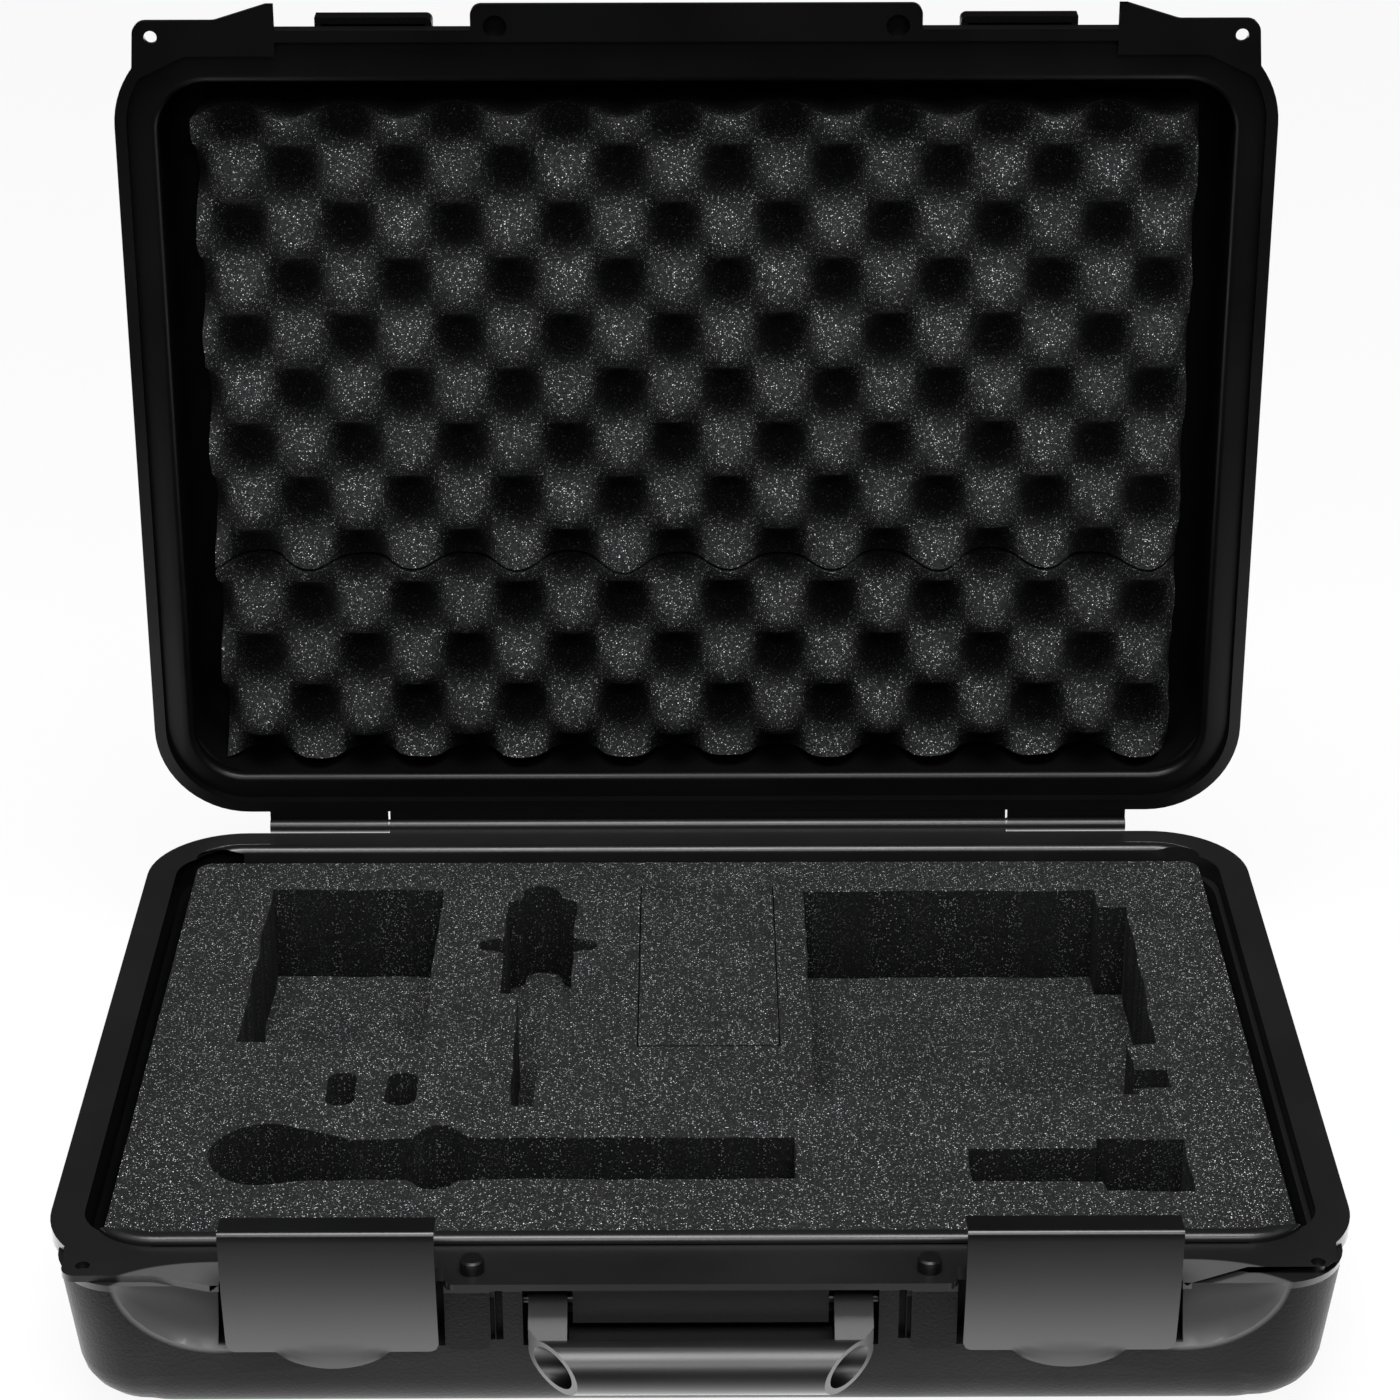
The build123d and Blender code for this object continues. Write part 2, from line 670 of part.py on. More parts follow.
# Handle: two arms on pins and a hollow grip with slanted open ends
with BuildPart() as handle:
    with BuildSketch(Plane.YZ):
        with Locations((-grip_y, grip_z)):
            Circle(grip_radius)
    extrude(amount=grip_half, both=True)
    for side in (-1, 1):
        with BuildSketch(Plane.YZ.offset(side * (arm_inner + arm_outer) / 2)):
            with Locations((-handle_pivot_y, handle_pivot_z)):
                Circle(arm_thick / 2)
            with BuildLine():
                Polyline(
                    (-handle_pivot_y + arm_nx, handle_pivot_z - arm_nz),
                    (-grip_y + arm_nx, grip_z - arm_nz),
                    (-grip_y - arm_nx, grip_z + arm_nz),
                    (-handle_pivot_y - arm_nx, handle_pivot_z + arm_nz),
                    close=True,
                )
            make_face()
        extrude(amount=(arm_outer - arm_inner) / 2, both=True)
    with BuildSketch(Plane.YZ):
        with Locations((-grip_y, grip_z)):
            Circle(grip_radius - grip_wall)
    extrude(amount=grip_half, both=True, mode=Mode.SUBTRACT)
    for side in (-1, 1):
        with BuildSketch(Plane.YZ.offset(side * (arm_inner + arm_outer) / 2)):
            with Locations((-handle_pivot_y, handle_pivot_z)):
                Circle(handle_pin_radius + running_gap)
        extrude(amount=(arm_outer - arm_inner) / 2, both=True, mode=Mode.SUBTRACT)
        with BuildSketch(Plane.XZ.offset(grip_y)):
            with BuildLine():
                Polyline(
                    (side * (grip_half + 1), grip_z + grip_radius + 1),
                    (side * (grip_half + 1), grip_z - grip_radius - 1),
                    (side * (grip_half - grip_cut_reach), grip_z - grip_radius - 1),
                    close=True,
                )
            make_face()
        extrude(amount=grip_radius + 1, both=True, mode=Mode.SUBTRACT)
handle.part.label = "handle"
export_step(handle.part, "parts/handle.step")

# Foam in the base: a cut layer that holds the equipment over a plain layer
foam_width = rim_width - 2 * lip_inner - 2 * foam_gap
foam_depth = rim_depth - 2 * lip_inner - 2 * foam_gap
foam_corner = rim_corner - lip_inner - foam_gap
foam_split = wall + foam_floor_thick
with BuildPart() as base_foam_floor:
    with BuildSketch(Plane.XY.offset(wall)):
        RectangleRounded(foam_width, foam_depth, foam_corner + foam_floor_ease)
    extrude(amount=foam_floor_thick)
    fillet(base_foam_floor.faces().sort_by(Axis.Z)[0].edges(), foam_edge_round)
base_foam_floor.part.label = "base_foam_floor"
export_step(base_foam_floor.part, "parts/base_foam_floor.step")

with BuildPart() as base_foam:
    with BuildSketch(Plane.XY.offset(foam_split)):
        RectangleRounded(foam_width, foam_depth, foam_corner)
        # Receiver, with a channel for its connectors and a small hole in front of that
        with Locations(((receiver_left + receiver_right) / 2, (receiver_front + receiver_back) / 2)):
            Rectangle(receiver_right - receiver_left, receiver_back - receiver_front, mode=Mode.SUBTRACT)
        with Locations((receiver_right + channel_width / 2 - 1, channel_mid_y)):
            Rectangle(channel_width + 2, channel_length, mode=Mode.SUBTRACT)
        with Locations((receiver_right + channel_width / 2 + 2, hole_mid_y)):
            Rectangle(channel_width, hole_length, mode=Mode.SUBTRACT)
        # Bodypack
        with Locations((pack_x, pack_y)):
            Rectangle(pack_width, pack_depth, mode=Mode.SUBTRACT)
        # Clip microphone: round top, body with two small wings, and a long slot for its cable
        with Locations((clip_x, clip_top)):
            Circle(clip_top_radius, mode=Mode.SUBTRACT)
        with Locations((clip_x, (clip_top + clip_foot) / 2)):
            Rectangle(clip_width, clip_top - clip_foot, mode=Mode.SUBTRACT)
        with Locations((clip_x, clip_wing_y)):
            SlotOverall(clip_wing_width, clip_wing_depth, mode=Mode.SUBTRACT)
        with Locations((clip_x - 2, (clip_foot + cable_foot) / 2)):
            Rectangle(cable_width, clip_foot - cable_foot + 2, mode=Mode.SUBTRACT)
        # Two small wells for batteries
        with Locations((well_left_x, well_y), (well_right_x, well_y)):
            RectangleRounded(well_width, well_length, well_width / 2 - 0.5, mode=Mode.SUBTRACT)
        # Handheld microphone: head, neck, ring and body
        with Locations((mic_head_x, mic_head_y)):
            Circle(mic_head_radius, mode=Mode.SUBTRACT)
        with BuildLine():
            Polyline(
                (mic_head_x, mic_head_y + mic_head_radius),
                (mic_neck_x, mic_body_back),
                (mic_end, mic_body_back),
                (mic_end, mic_body_front),
                (mic_neck_x, mic_body_front),
                (mic_head_x, mic_head_y - mic_head_radius),
                close=True,
            )
        make_face(mode=Mode.SUBTRACT)
        with Locations((mic_ring_x, (mic_ring_back + mic_ring_front) / 2)):
            RectangleRounded(mic_ring_width, mic_ring_back - mic_ring_front, mic_ring_round, mode=Mode.SUBTRACT)
        # Recess for a small accessory, in two widths
        with Locations(((tool_left + tool_step) / 2, tool_y)):
            Rectangle(tool_step - tool_left, tool_neck_depth, mode=Mode.SUBTRACT)
        with Locations(((tool_step + tool_right) / 2 - 1, tool_y)):
            Rectangle(tool_right - tool_step + 2, tool_head_depth, mode=Mode.SUBTRACT)
        # Opening that still holds its own plug of foam
        with Locations((plug_x, plug_y)):
            Rectangle(plug_width, plug_depth, mode=Mode.SUBTRACT)
    extrude(amount=foam_top - foam_split)
base_foam.part.label = "base_foam"
export_step(base_foam.part, "parts/base_foam.step")

with BuildPart() as foam_plug:
    with BuildSketch(Plane.XY.offset(foam_split)):
        with Locations((plug_x, plug_y)):
            Rectangle(plug_width - 2 * plug_gap, plug_depth - 2 * plug_gap)
    extrude(amount=foam_top - foam_split)
foam_plug.part.label = "foam_plug"
export_step(foam_plug.part, "parts/foam_plug.step")

# Two pads of egg-crate foam in the lid: a slab with staggered rows of rounded bumps
lid_foam_back_depth = lid_height - wall
lid_foam_face_depth = lid_foam_back_depth - lid_foam_back
seam_low = lid_foam_seam - seam_gap / 2
seam_high = lid_foam_seam + seam_gap / 2
with BuildPart() as crate_bump:
    for rise, side_length in ((0, crate_foot), (crate_shoulder_rise, crate_shoulder), (crate_height, crate_top)):
        with BuildSketch(Plane.XZ.offset(rise)):
            Rectangle(side_length, side_length, rotation=45)
    loft(ruled=True)
for pad, pad_low, pad_high in (
    ("lid_foam_lower", lid_foam_low, seam_low),
    ("lid_foam_upper", seam_high, lid_foam_high),
):
    bump_places = []
    for row in range(1, crate_rows + 1):
        bump_height = crate_first_row + row * crate_pitch / 2
        if pad_low < bump_height < pad_high:
            shift = crate_shift + crate_pitch / 2 * (row % 2)
            for column in range(-5, 6):
                bump_x = column * crate_pitch + shift
                if abs(bump_x) < lid_foam_half - crate_foot / 2:
                    bump_places.append((bump_x, hinge_y + lid_foam_face_depth, hinge_z + bump_height))
    with BuildPart() as lid_foam:
        with BuildSketch(lid_plane(lid_foam_back_depth)):
            with Locations((0, (pad_low + pad_high) / 2)):
                Rectangle(2 * lid_foam_half, pad_high - pad_low)
        extrude(amount=lid_foam_back)
        back_edges = lid_foam.faces().sort_by(Axis.Y)[-1].edges().sort_by(Axis.Z)
        chamfer(back_edges[:-1] if pad == "lid_foam_lower" else back_edges[1:], lid_foam_ease)
        with Locations(*bump_places):
            add(crate_bump.part)
    lid_foam.part.label = pad
    export_step(lid_foam.part, "parts/" + pad + ".step")
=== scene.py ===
import json
import math

import bmesh
import bpy
from mathutils import Matrix, Vector, noise


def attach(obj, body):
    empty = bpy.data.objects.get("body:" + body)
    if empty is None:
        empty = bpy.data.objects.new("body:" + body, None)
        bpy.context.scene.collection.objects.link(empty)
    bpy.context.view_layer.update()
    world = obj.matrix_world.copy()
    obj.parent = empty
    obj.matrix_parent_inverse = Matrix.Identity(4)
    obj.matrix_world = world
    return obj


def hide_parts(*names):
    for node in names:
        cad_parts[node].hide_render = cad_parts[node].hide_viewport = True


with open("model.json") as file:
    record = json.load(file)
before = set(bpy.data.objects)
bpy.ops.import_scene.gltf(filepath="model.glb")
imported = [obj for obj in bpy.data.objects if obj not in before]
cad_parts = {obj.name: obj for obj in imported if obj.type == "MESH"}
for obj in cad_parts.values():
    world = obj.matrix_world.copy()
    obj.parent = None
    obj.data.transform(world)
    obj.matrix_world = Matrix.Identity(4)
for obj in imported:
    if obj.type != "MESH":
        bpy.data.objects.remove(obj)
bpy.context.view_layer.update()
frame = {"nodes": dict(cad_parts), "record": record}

MM = 0.001
SIDES = (("left", -1), ("right", 1))


def joint_place(name):
    """Where a joint stands at rest, in mm."""
    joint = next(j for j in frame["record"]["behaviour"]["joints"] if j["name"] == name)
    return [round(v / MM, 3) for v in joint["pos_m"]]


HINGE_Y, HINGE_Z = joint_place("lid_hinge")[1:]


# Short forms for shader nodes
def new_node(tree, kind, settings=None, inputs=None):
    """A node with its settings made and each input set to a value or joined to a socket."""
    node = tree.nodes.new(kind)
    for key, value in (settings or {}).items():
        setattr(node, key, value)
    for key, value in (inputs or {}).items():
        if isinstance(value, bpy.types.NodeSocket):
            tree.links.new(value, node.inputs[key])
        else:
            node.inputs[key].default_value = value
    return node


def math_node(tree, operation, *values):
    node = new_node(tree, "ShaderNodeMath", {"operation": operation}, dict(enumerate(values)))
    return node.outputs[0]


def vector_math(tree, operation, output, *values):
    node = new_node(tree, "ShaderNodeVectorMath", {"operation": operation}, dict(enumerate(values)))
    return node.outputs[output]


def ranged(tree, value, low, high, to_low=0.0, to_high=1.0, shape="LINEAR"):
    """A value moved from one range to another, and held within it."""
    node = new_node(tree, "ShaderNodeMapRange", {"interpolation_type": shape},
                    {"Value": value, "From Min": low, "From Max": high, "To Min": to_low, "To Max": to_high})
    return node.outputs["Result"]


def multiplied(tree, colour, factor):
    node = new_node(tree, "ShaderNodeMix", {"data_type": "RGBA", "blend_type": "MULTIPLY"},
                    {"Factor": 1.0, "A": colour, "B": factor})
    return node.outputs["Result"]


def parts_of(tree, vector):
    return new_node(tree, "ShaderNodeSeparateXYZ", inputs={"Vector": vector}).outputs


def ramp(tree, value, stops):
    node = new_node(tree, "ShaderNodeValToRGB", inputs={"Fac": value})
    elements = node.color_ramp.elements
    while len(elements) < len(stops):
        elements.new(0.5)
    for element, (place, colour) in zip(elements, stops):
        element.position = place
        element.color = (*colour, 1.0)
    return node.outputs["Color"]


def grey(v, tint=0.0):
    """A grey as red, green and blue, a little cooler where it is tinted."""
    return (v * (1 - tint), v, v * (1 + tint))


def node_material(name):
    """An empty node material, with its principled shader and its output."""
    mat = bpy.data.materials.new(name)
    mat.use_nodes = True
    tree = mat.node_tree
    tree.nodes.clear()
    out = new_node(tree, "ShaderNodeOutputMaterial")
    bsdf = new_node(tree, "ShaderNodeBsdfPrincipled")
    tree.links.new(bsdf.outputs["BSDF"], out.inputs["Surface"])
    return mat, tree, bsdf, out


def noise_texture(tree, coordinates, scale, detail, roughness=0.5):
    node = new_node(tree, "ShaderNodeTexNoise", inputs={
        "Vector": coordinates, "Scale": scale, "Detail": detail, "Roughness": roughness})
    return node.outputs["Fac"]


# Plastics. Lengths are in mm, apart from shader coordinates, which are in metres
SHELL_TONE = 0.0048
# Painted light: colour added to the front panel between the handle's arms.
PANEL_PAINTED_LIGHT = 0.035
# Painted light: colour added to the scoops.
SCOOP_PAINTED_LIGHT = 0.060
SCOOP_CENTRE = (196, -218, 70)
SCOOP_REACH = (47, 24, 42)
PEBBLES_BELOW = 63.8
PEBBLES_BEHIND = 216.5
LID_FROM = 204.0
PANEL_HALF = 54.0
PANEL_BEFORE = -185.0


def moulded_plastic(name, rough, grain, depth, gloss_change, bump_strength):
    """What every plastic here has: a leathery grain and small changes of gloss."""
    mat, tree, bsdf, _ = node_material(name)
    place = new_node(tree, "ShaderNodeTexCoord").outputs["Object"]
    cells = new_node(tree, "ShaderNodeTexVoronoi", {"feature": "SMOOTH_F1"},
                     {"Vector": place, "Scale": 1 / (grain * MM), "Smoothness": 0.6})
    wave = noise_texture(tree, place, 1 / (grain * 1.6 * MM), 3.0)
    broad = noise_texture(tree, place, 14.0, 4.0)
    height = new_node(tree, "ShaderNodeMix", {"data_type": "FLOAT"},
                      {"Factor": 0.45, "A": cells.outputs["Distance"], "B": wave})
    bump = new_node(tree, "ShaderNodeBump", inputs={
        "Strength": bump_strength, "Distance": depth * MM, "Height": height.outputs["Result"]})
    tree.links.new(bump.outputs["Normal"], bsdf.inputs["Normal"])
    gloss = ranged(tree, broad, 0.3, 0.7, rough - gloss_change, rough + gloss_change)
    return mat, tree, bsdf, bump, place, broad, gloss


def smooth_plastic(name, tone, rough, grain, depth, bump_strength):
    mat, tree, bsdf, _, _, broad, gloss = moulded_plastic(name, rough, grain, depth, 0.03, bump_strength)
    colour = ramp(tree, broad, [(0.3, grey(tone * 0.85)), (0.7, grey(tone * 1.15, 0.02))])
    tree.links.new(colour, bsdf.inputs["Base Color"])
    tree.links.new(gloss, bsdf.inputs["Roughness"])
    bsdf.inputs["Specular IOR Level"].default_value = 0.5
    return mat


def shell_plastic(name):
    """The shells' plastic: pebbled on the outer walls, smooth on rims, lips and scoops, with painted light
    on the scoops and the front panel and painted shade over the lid.
    """
    bump_strength = 0.5
    mat, tree, bsdf, bump, place, _, gloss = moulded_plastic(name, 0.36, 1.2, 0.2, 0.06, bump_strength)
    x, y, z = (parts_of(tree, place)[axis] for axis in "XYZ")
    either_side = math_node(tree, "ABSOLUTE", x)

    # How far a point is from the middle of the scoop, where 1 is on its surface
    folded = new_node(tree, "ShaderNodeCombineXYZ", inputs={"X": either_side, "Y": y, "Z": z})
    from_centre = vector_math(tree, "SUBTRACT", "Vector", folded.outputs["Vector"],
                              tuple(v * MM for v in SCOOP_CENTRE))
    scaled = vector_math(tree, "DIVIDE", "Vector", from_centre, tuple(v * MM for v in SCOOP_REACH))
    far = vector_math(tree, "LENGTH", "Value", scaled)

    under_rim = math_node(tree, "LESS_THAN", z, PEBBLES_BELOW * MM)
    behind_lid = math_node(tree, "GREATER_THAN", y, PEBBLES_BEHIND * MM)
    wall = math_node(tree, "MAXIMUM", under_rim, behind_lid)
    pebbled = math_node(tree, "MULTIPLY", wall, ranged(tree, far, 1.01, 1.05))
    roughness = math_node(tree, "MULTIPLY_ADD", pebbled, 0.2, gloss)
    tree.links.new(roughness, bsdf.inputs["Roughness"])
    tree.links.new(ranged(tree, pebbled, 0.0, 1.0, bump_strength * 0.15, 1.0), bump.inputs["Strength"])

    # Painted shade: the lid's part of the shell takes 0.3 of the base's colour and gloss level, darker than
    # the base.
    lid_painted_shade = ranged(tree, y, LID_FROM * MM, (LID_FROM + 0.5) * MM, 1.0, 0.3)
    shine = math_node(tree, "MULTIPLY", ranged(tree, pebbled, 0.0, 1.0, 0.5, 0.14), lid_painted_shade)
    tree.links.new(shine, bsdf.inputs["Specular IOR Level"])

    # Painted light: the scoops get a lighter colour in place of the light and reflections that brighten
    # them.
    in_scoop = ranged(tree, far, 1.05, 1.01)
    # Painted light: the front panel between the handle's arms, below the rim, gets a lighter colour in place
    # of light.
    between_arms = math_node(tree, "LESS_THAN", either_side, PANEL_HALF * MM)
    at_front = math_node(tree, "LESS_THAN", y, PANEL_BEFORE * MM)
    front_panel = math_node(tree, "MULTIPLY", between_arms, at_front)
    panel = math_node(tree, "MULTIPLY", front_panel, under_rim)
    scoop_painted_light = math_node(tree, "MULTIPLY", in_scoop, SCOOP_PAINTED_LIGHT)
    painted_light = math_node(tree, "MULTIPLY_ADD", panel, PANEL_PAINTED_LIGHT, scoop_painted_light)
    tone = math_node(tree, "MULTIPLY_ADD", lid_painted_shade, SHELL_TONE, painted_light)
    tree.links.new(tone, bsdf.inputs["Base Color"])
    return mat


# Foam
FOAM_CELL = 0.95
FOAM_PORE = 1.6
# Share of cells that carry a painted glint.
SPARKLE_SHARE = 0.26


def sparkles(tree, place, cell, reach):
    """Small painted glints in some of the cells, each of its own brightness."""
    cells = new_node(tree, "ShaderNodeTexVoronoi", {"feature": "F1"},
                     {"Vector": place, "Scale": 1 / (cell * MM)})
    pick = new_node(tree, "ShaderNodeSeparateColor", inputs={"Color": cells.outputs["Color"]})
    chosen = math_node(tree, "GREATER_THAN", pick.outputs["Red"], 1.0 - SPARKLE_SHARE)
    near = ranged(tree, cells.outputs["Distance"], reach, reach * 0.45)
    dots = math_node(tree, "MULTIPLY", chosen, near)
    brightness = math_node(tree, "POWER", pick.outputs["Green"], 2.2)
    return math_node(tree, "MULTIPLY", dots, brightness)


def foam_material(name, low, high, steep_painted_shade=1.0, hollow_painted_shade=None):
    """Open-cell foam: charcoal pores with painted glints of cell walls scattered over them; painted shade on
    steep faces and in the valleys where the arguments give it.
    """
    mat, tree, bsdf, _ = node_material(name)
    place = new_node(tree, "ShaderNodeTexCoord").outputs["Object"]
    pores = noise_texture(tree, place, 1 / (FOAM_PORE * MM), 4.0, 0.65)
    cloud = noise_texture(tree, place, 28.0, 3.0)
    body = ramp(tree, pores, [(0.32, grey(low)), (0.68, grey(high, 0.03))])
    # Painted glints: white dots in the colour stand in for light caught by the cell walls.
    large = sparkles(tree, place, FOAM_CELL, 0.36)
    small = sparkles(tree, place, FOAM_CELL * 0.62, 0.42)
    dots = math_node(tree, "MAXIMUM", large, small)
    mixed = new_node(tree, "ShaderNodeMix", {"data_type": "RGBA"},
                     {"Factor": dots, "A": body, "B": (*grey(1.0, 0.02), 1.0)})
    colour = multiplied(tree, mixed.outputs["Result"], ranged(tree, cloud, 0.3, 0.7, 0.82, 1.18))

    # Painted shade: steep faces, such as the walls of the cut-outs, are made darker than the top.
    normal = new_node(tree, "ShaderNodeNewGeometry").outputs["True Normal"]
    colour = multiplied(tree, colour, ranged(tree, parts_of(tree, normal)["Z"], 0.3, 0.7, steep_painted_shade, 1.0))

    # Painted shade: the egg-crate's valleys are darker than its tips, the deeper the darker.
    if hollow_painted_shade:
        from_y, to_y = hollow_painted_shade
        depth = ranged(tree, parts_of(tree, place)["Y"], from_y * MM, to_y * MM, 1.0, 0.1, "SMOOTHSTEP")
        colour = multiplied(tree, colour, depth)
    tree.links.new(colour, bsdf.inputs["Base Color"])
    bump = new_node(tree, "ShaderNodeBump", inputs={"Strength": 0.8, "Distance": 0.5 * MM, "Height": pores})
    tree.links.new(bump.outputs["Normal"], bsdf.inputs["Normal"])
    bsdf.inputs["Roughness"].default_value = 0.95
    bsdf.inputs["Specular IOR Level"].default_value = 0.15
    return mat


def steel_material(name):
    mat, tree, bsdf, _ = node_material(name)
    place = new_node(tree, "ShaderNodeTexCoord").outputs["Object"]
    brushed = noise_texture(tree, place, 900.0, 2.0)
    # The steel's colour is kept very dark, painted shade for pins that sit in the shaded gaps of the hinge.
    colour = ramp(tree, brushed, [(0.3, grey(0.05)), (0.7, grey(0.09, 0.01))])
    tree.links.new(colour, bsdf.inputs["Base Color"])
    bsdf.inputs["Metallic"].default_value = 1.0
    bsdf.inputs["Roughness"].default_value = 0.34
    return mat


shell_mat = shell_plastic("shell_plastic")
latch_mat = smooth_plastic("latch_plastic", 0.003, 0.31, 0.5, 0.02, 0.25)
handle_mat = smooth_plastic("handle_plastic", 0.006, 0.38, 0.7, 0.03, 0.3)
# Painted shade darkens the base foam's steep faces.
base_foam_mat = foam_material("base_foam_cells", 0.004, 0.017, steep_painted_shade=0.4)
# Painted shade darkens the lid foam's valleys.
lid_foam_mat = foam_material("lid_foam_cells", 0.004, 0.020, hollow_painted_shade=(222.5, 241.5))
steel_mat = steel_material("pin_steel")

finishes = {"shell": shell_mat, "latch": latch_mat, "handle": handle_mat, "steel": steel_mat,
            "base_foam": base_foam_mat, "lid_foam": lid_foam_mat}
slot_of = {part["node"]: part["material_slot"] for part in frame["record"]["subparts"]}
for node_name, obj in frame["nodes"].items():
    for material_slot in obj.material_slots:
        material_slot.material = finishes[slot_of[node_name]]


# Meshes and outlines
def linked(name, mesh):
    obj = bpy.data.objects.new(name, mesh)
    bpy.context.scene.collection.objects.link(obj)
    return obj


def new_object(name, bm, mat):
    mesh = bpy.data.meshes.new(name)
    bm.normal_update()
    bm.to_mesh(mesh)
    bm.free()
    mesh.materials.append(mat)
    return linked(name, mesh)


def smooth_by_angle(obj, degrees):
    """Smooth shading, apart from the edges that are sharper than the angle."""
    bm = bmesh.new()
    bm.from_mesh(obj.data)
    limit = math.radians(degrees)
    for face in bm.faces:
        face.smooth = True
    for edge in bm.edges:
        edge.smooth = len(edge.link_faces) == 2 and edge.calc_face_angle(0.0) < limit
    bm.to_mesh(obj.data)
    bm.free()


def paint(obj, mat):
    obj.data.materials.clear()
    obj.data.materials.append(mat)
    for polygon in obj.data.polygons:
        polygon.material_index = 0


def dress(obj, body, node_name):
    """The piece rides its body and is seen in place of the solid."""
    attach(obj, body)
    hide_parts(node_name)


def arc(cx, cy, r, start, end, steps=10):
    """Points of an arc, with its angles in degrees."""
    angles = [math.radians(start + (end - start) * i / steps) for i in range(steps + 1)]
    return [(cx + r * math.cos(a), cy + r * math.sin(a)) for a in angles]


def circle(cx, cy, r, count):
    return arc(cx, cy, r, 0, 360, count)[:-1]


def rounded_rectangle(x0, y0, x1, y1, r, steps=8):
    corners = ((x1 - r, y1 - r, 0), (x0 + r, y1 - r, 90), (x0 + r, y0 + r, 180), (x1 - r, y0 + r, 270))
    points = []
    for cx, cy, start in corners:
        points += arc(cx, cy, r, start, start + 90, steps)
    return points


def centred(half_x, y_low, y_high, r, steps=10):
    """A rounded rectangle that is as wide on the left as on the right."""
    return rounded_rectangle(-half_x, y_low, half_x, y_high, r, steps)


def mirrored(points):
    return [(-x, y) for x, y in reversed(points)]


def on_side(side, points):
    return points if side > 0 else mirrored(points)


def eased(points, radii, steps=5):
    """A closed outline with some of its corners rounded; radii is given by the corner's number."""
    out = []
    for i, point in enumerate(points):
        r = radii.get(i, 0)
        if not r:
            out.append(point)
            continue
        corner = Vector(point)
        before = Vector(points[i - 1]) - corner
        after = Vector(points[(i + 1) % len(points)]) - corner
        half = before.angle(after) / 2
        reach = r / math.tan(half)
        start = corner + before.normalized() * reach
        end = corner + after.normalized() * reach
        inward = (before.normalized() + after.normalized()).normalized()
        centre = corner + inward * (r / math.sin(half))
        for k in range(steps + 1):
            spoke = start.lerp(end, k / steps) - centre
            q = centre + spoke.normalized() * r
            out.append((q.x, q.y))
    return out


def resample(points, step):
    """Points every few mm round a closed outline, its corners kept."""
    out = []
    for (ax, ay), (bx, by) in zip(points, points[1:] + points[:1]):
        parts = max(1, int(round(math.hypot(bx - ax, by - ay) / step)))
        for k in range(parts):
            out.append((ax + (bx - ax) * k / parts, ay + (by - ay) * k / parts))
    return out


def wobble(points, amount, size, seed):
    """A hand-cut outline: each point strays a little, smoothly along the cut."""
    out = []
    for x, y in points:
        v = Vector((x / size, y / size, seed * 7.3))
        out.append((x + amount * noise.noise(v), y + amount * noise.noise(v + Vector((31.7, 5.1, 2.2)))))
    return out


def slab_with_holes(name, outline, holes, z_low, z_high, mat, soften):
    """A flat block from a closed outline and holes, with softened top and bottom edges."""
    curve = bpy.data.curves.new(name + "_outline", "CURVE")
    curve.dimensions = "2D"
    curve.fill_mode = "BOTH"
    curve.extrude = (z_high - z_low) / 2 * MM - soften * MM
    curve.bevel_depth = soften * MM
    curve.bevel_resolution = 2
    curve.offset = -soften * MM
    for loop in [outline] + holes:
        spline = curve.splines.new("POLY")
        spline.points.add(len(loop) - 1)
        for p, (x, y) in zip(spline.points, loop):
            p.co = (x * MM, y * MM, 0.0, 1.0)
        spline.use_cyclic_u = True
    holder = linked(name + "_curve", curve)
    graph = bpy.context.evaluated_depsgraph_get()
    mesh = bpy.data.meshes.new_from_object(holder.evaluated_get(graph))
    bpy.data.objects.remove(holder)
    bpy.data.curves.remove(curve)
    mesh.name = name
    mesh.transform(Matrix.Translation((0, 0, (z_low + z_high) / 2 * MM)))
    bm = bmesh.new()
    bm.from_mesh(mesh)
    bmesh.ops.remove_doubles(bm, verts=bm.verts, dist=1e-6)
    bmesh.ops.recalc_face_normals(bm, faces=bm.faces)
    bm.to_mesh(mesh)
    bm.free()
    obj = linked(name, mesh)
    paint(obj, mat)
    smooth_by_angle(obj, 50)
    return obj


# Foam in the base: the cut block, the pad under it and the plug left in its slit opening
FOAM_TOP = 66.0
FOAM_SPLIT = 18.0
FOAM_FLOOR = 4.0
FOAM_HALF_X = 246.5
FOAM_HALF_Y = 173.2

receiver = [(51, -53.5), (192.5, -53.5), (193.5, -49), (207.5, -48.5), (208, -33), (194, -32), (192.5, -10),
            (205.5, -9), (206, 123.5), (192, 124), (191.5, 141.5), (51, 141)]
pack = [(-208, -5), (-124.5, -6), (-124, 144), (-207, 144.5)]
clip = ([(-92, 131), (-92, 94), (-97, 92)] + arc(-99, 86.5, 5, 100, 260, 6)
        + [(-96, 81), (-92, 79), (-91.5, 40), (-83.5, 39), (-83, -63), (-72.5, -63.5), (-72, 39.5),
           (-59.5, 40), (-59, 79), (-56, 81)]
        + arc(-52.5, 86.5, 5, -100, 80, 6) + [(-56, 92), (-59, 94), (-59, 131), (-65, 134)]
        + arc(-75.5, 139, 9, -10, 190, 8) + [(-86, 134)])
well_left = rounded_rectangle(-164.2, -61.5, -151.4, -33.5, 5.6, 5)
well_right = rounded_rectangle(-138, -61.5, -124.6, -33.5, 5.8, 5)
microphone = (arc(-185.6, -102.5, 25, 80, 280, 18) + [(-165, -124), (-150, -123.5), (-124, -124)]
              + arc(-112.5, -122.5, 9.5, 200, 340, 6)
              + [(-100, -124), (-70, -123), (-20, -124), (40.5, -123.5), (41, -90), (0, -90), (-50, -89.5),
                 (-100, -89.5)]
              + arc(-112.5, -88, 9.5, 20, 160, 6) + [(-124, -90), (-150, -91), (-165, -84)])
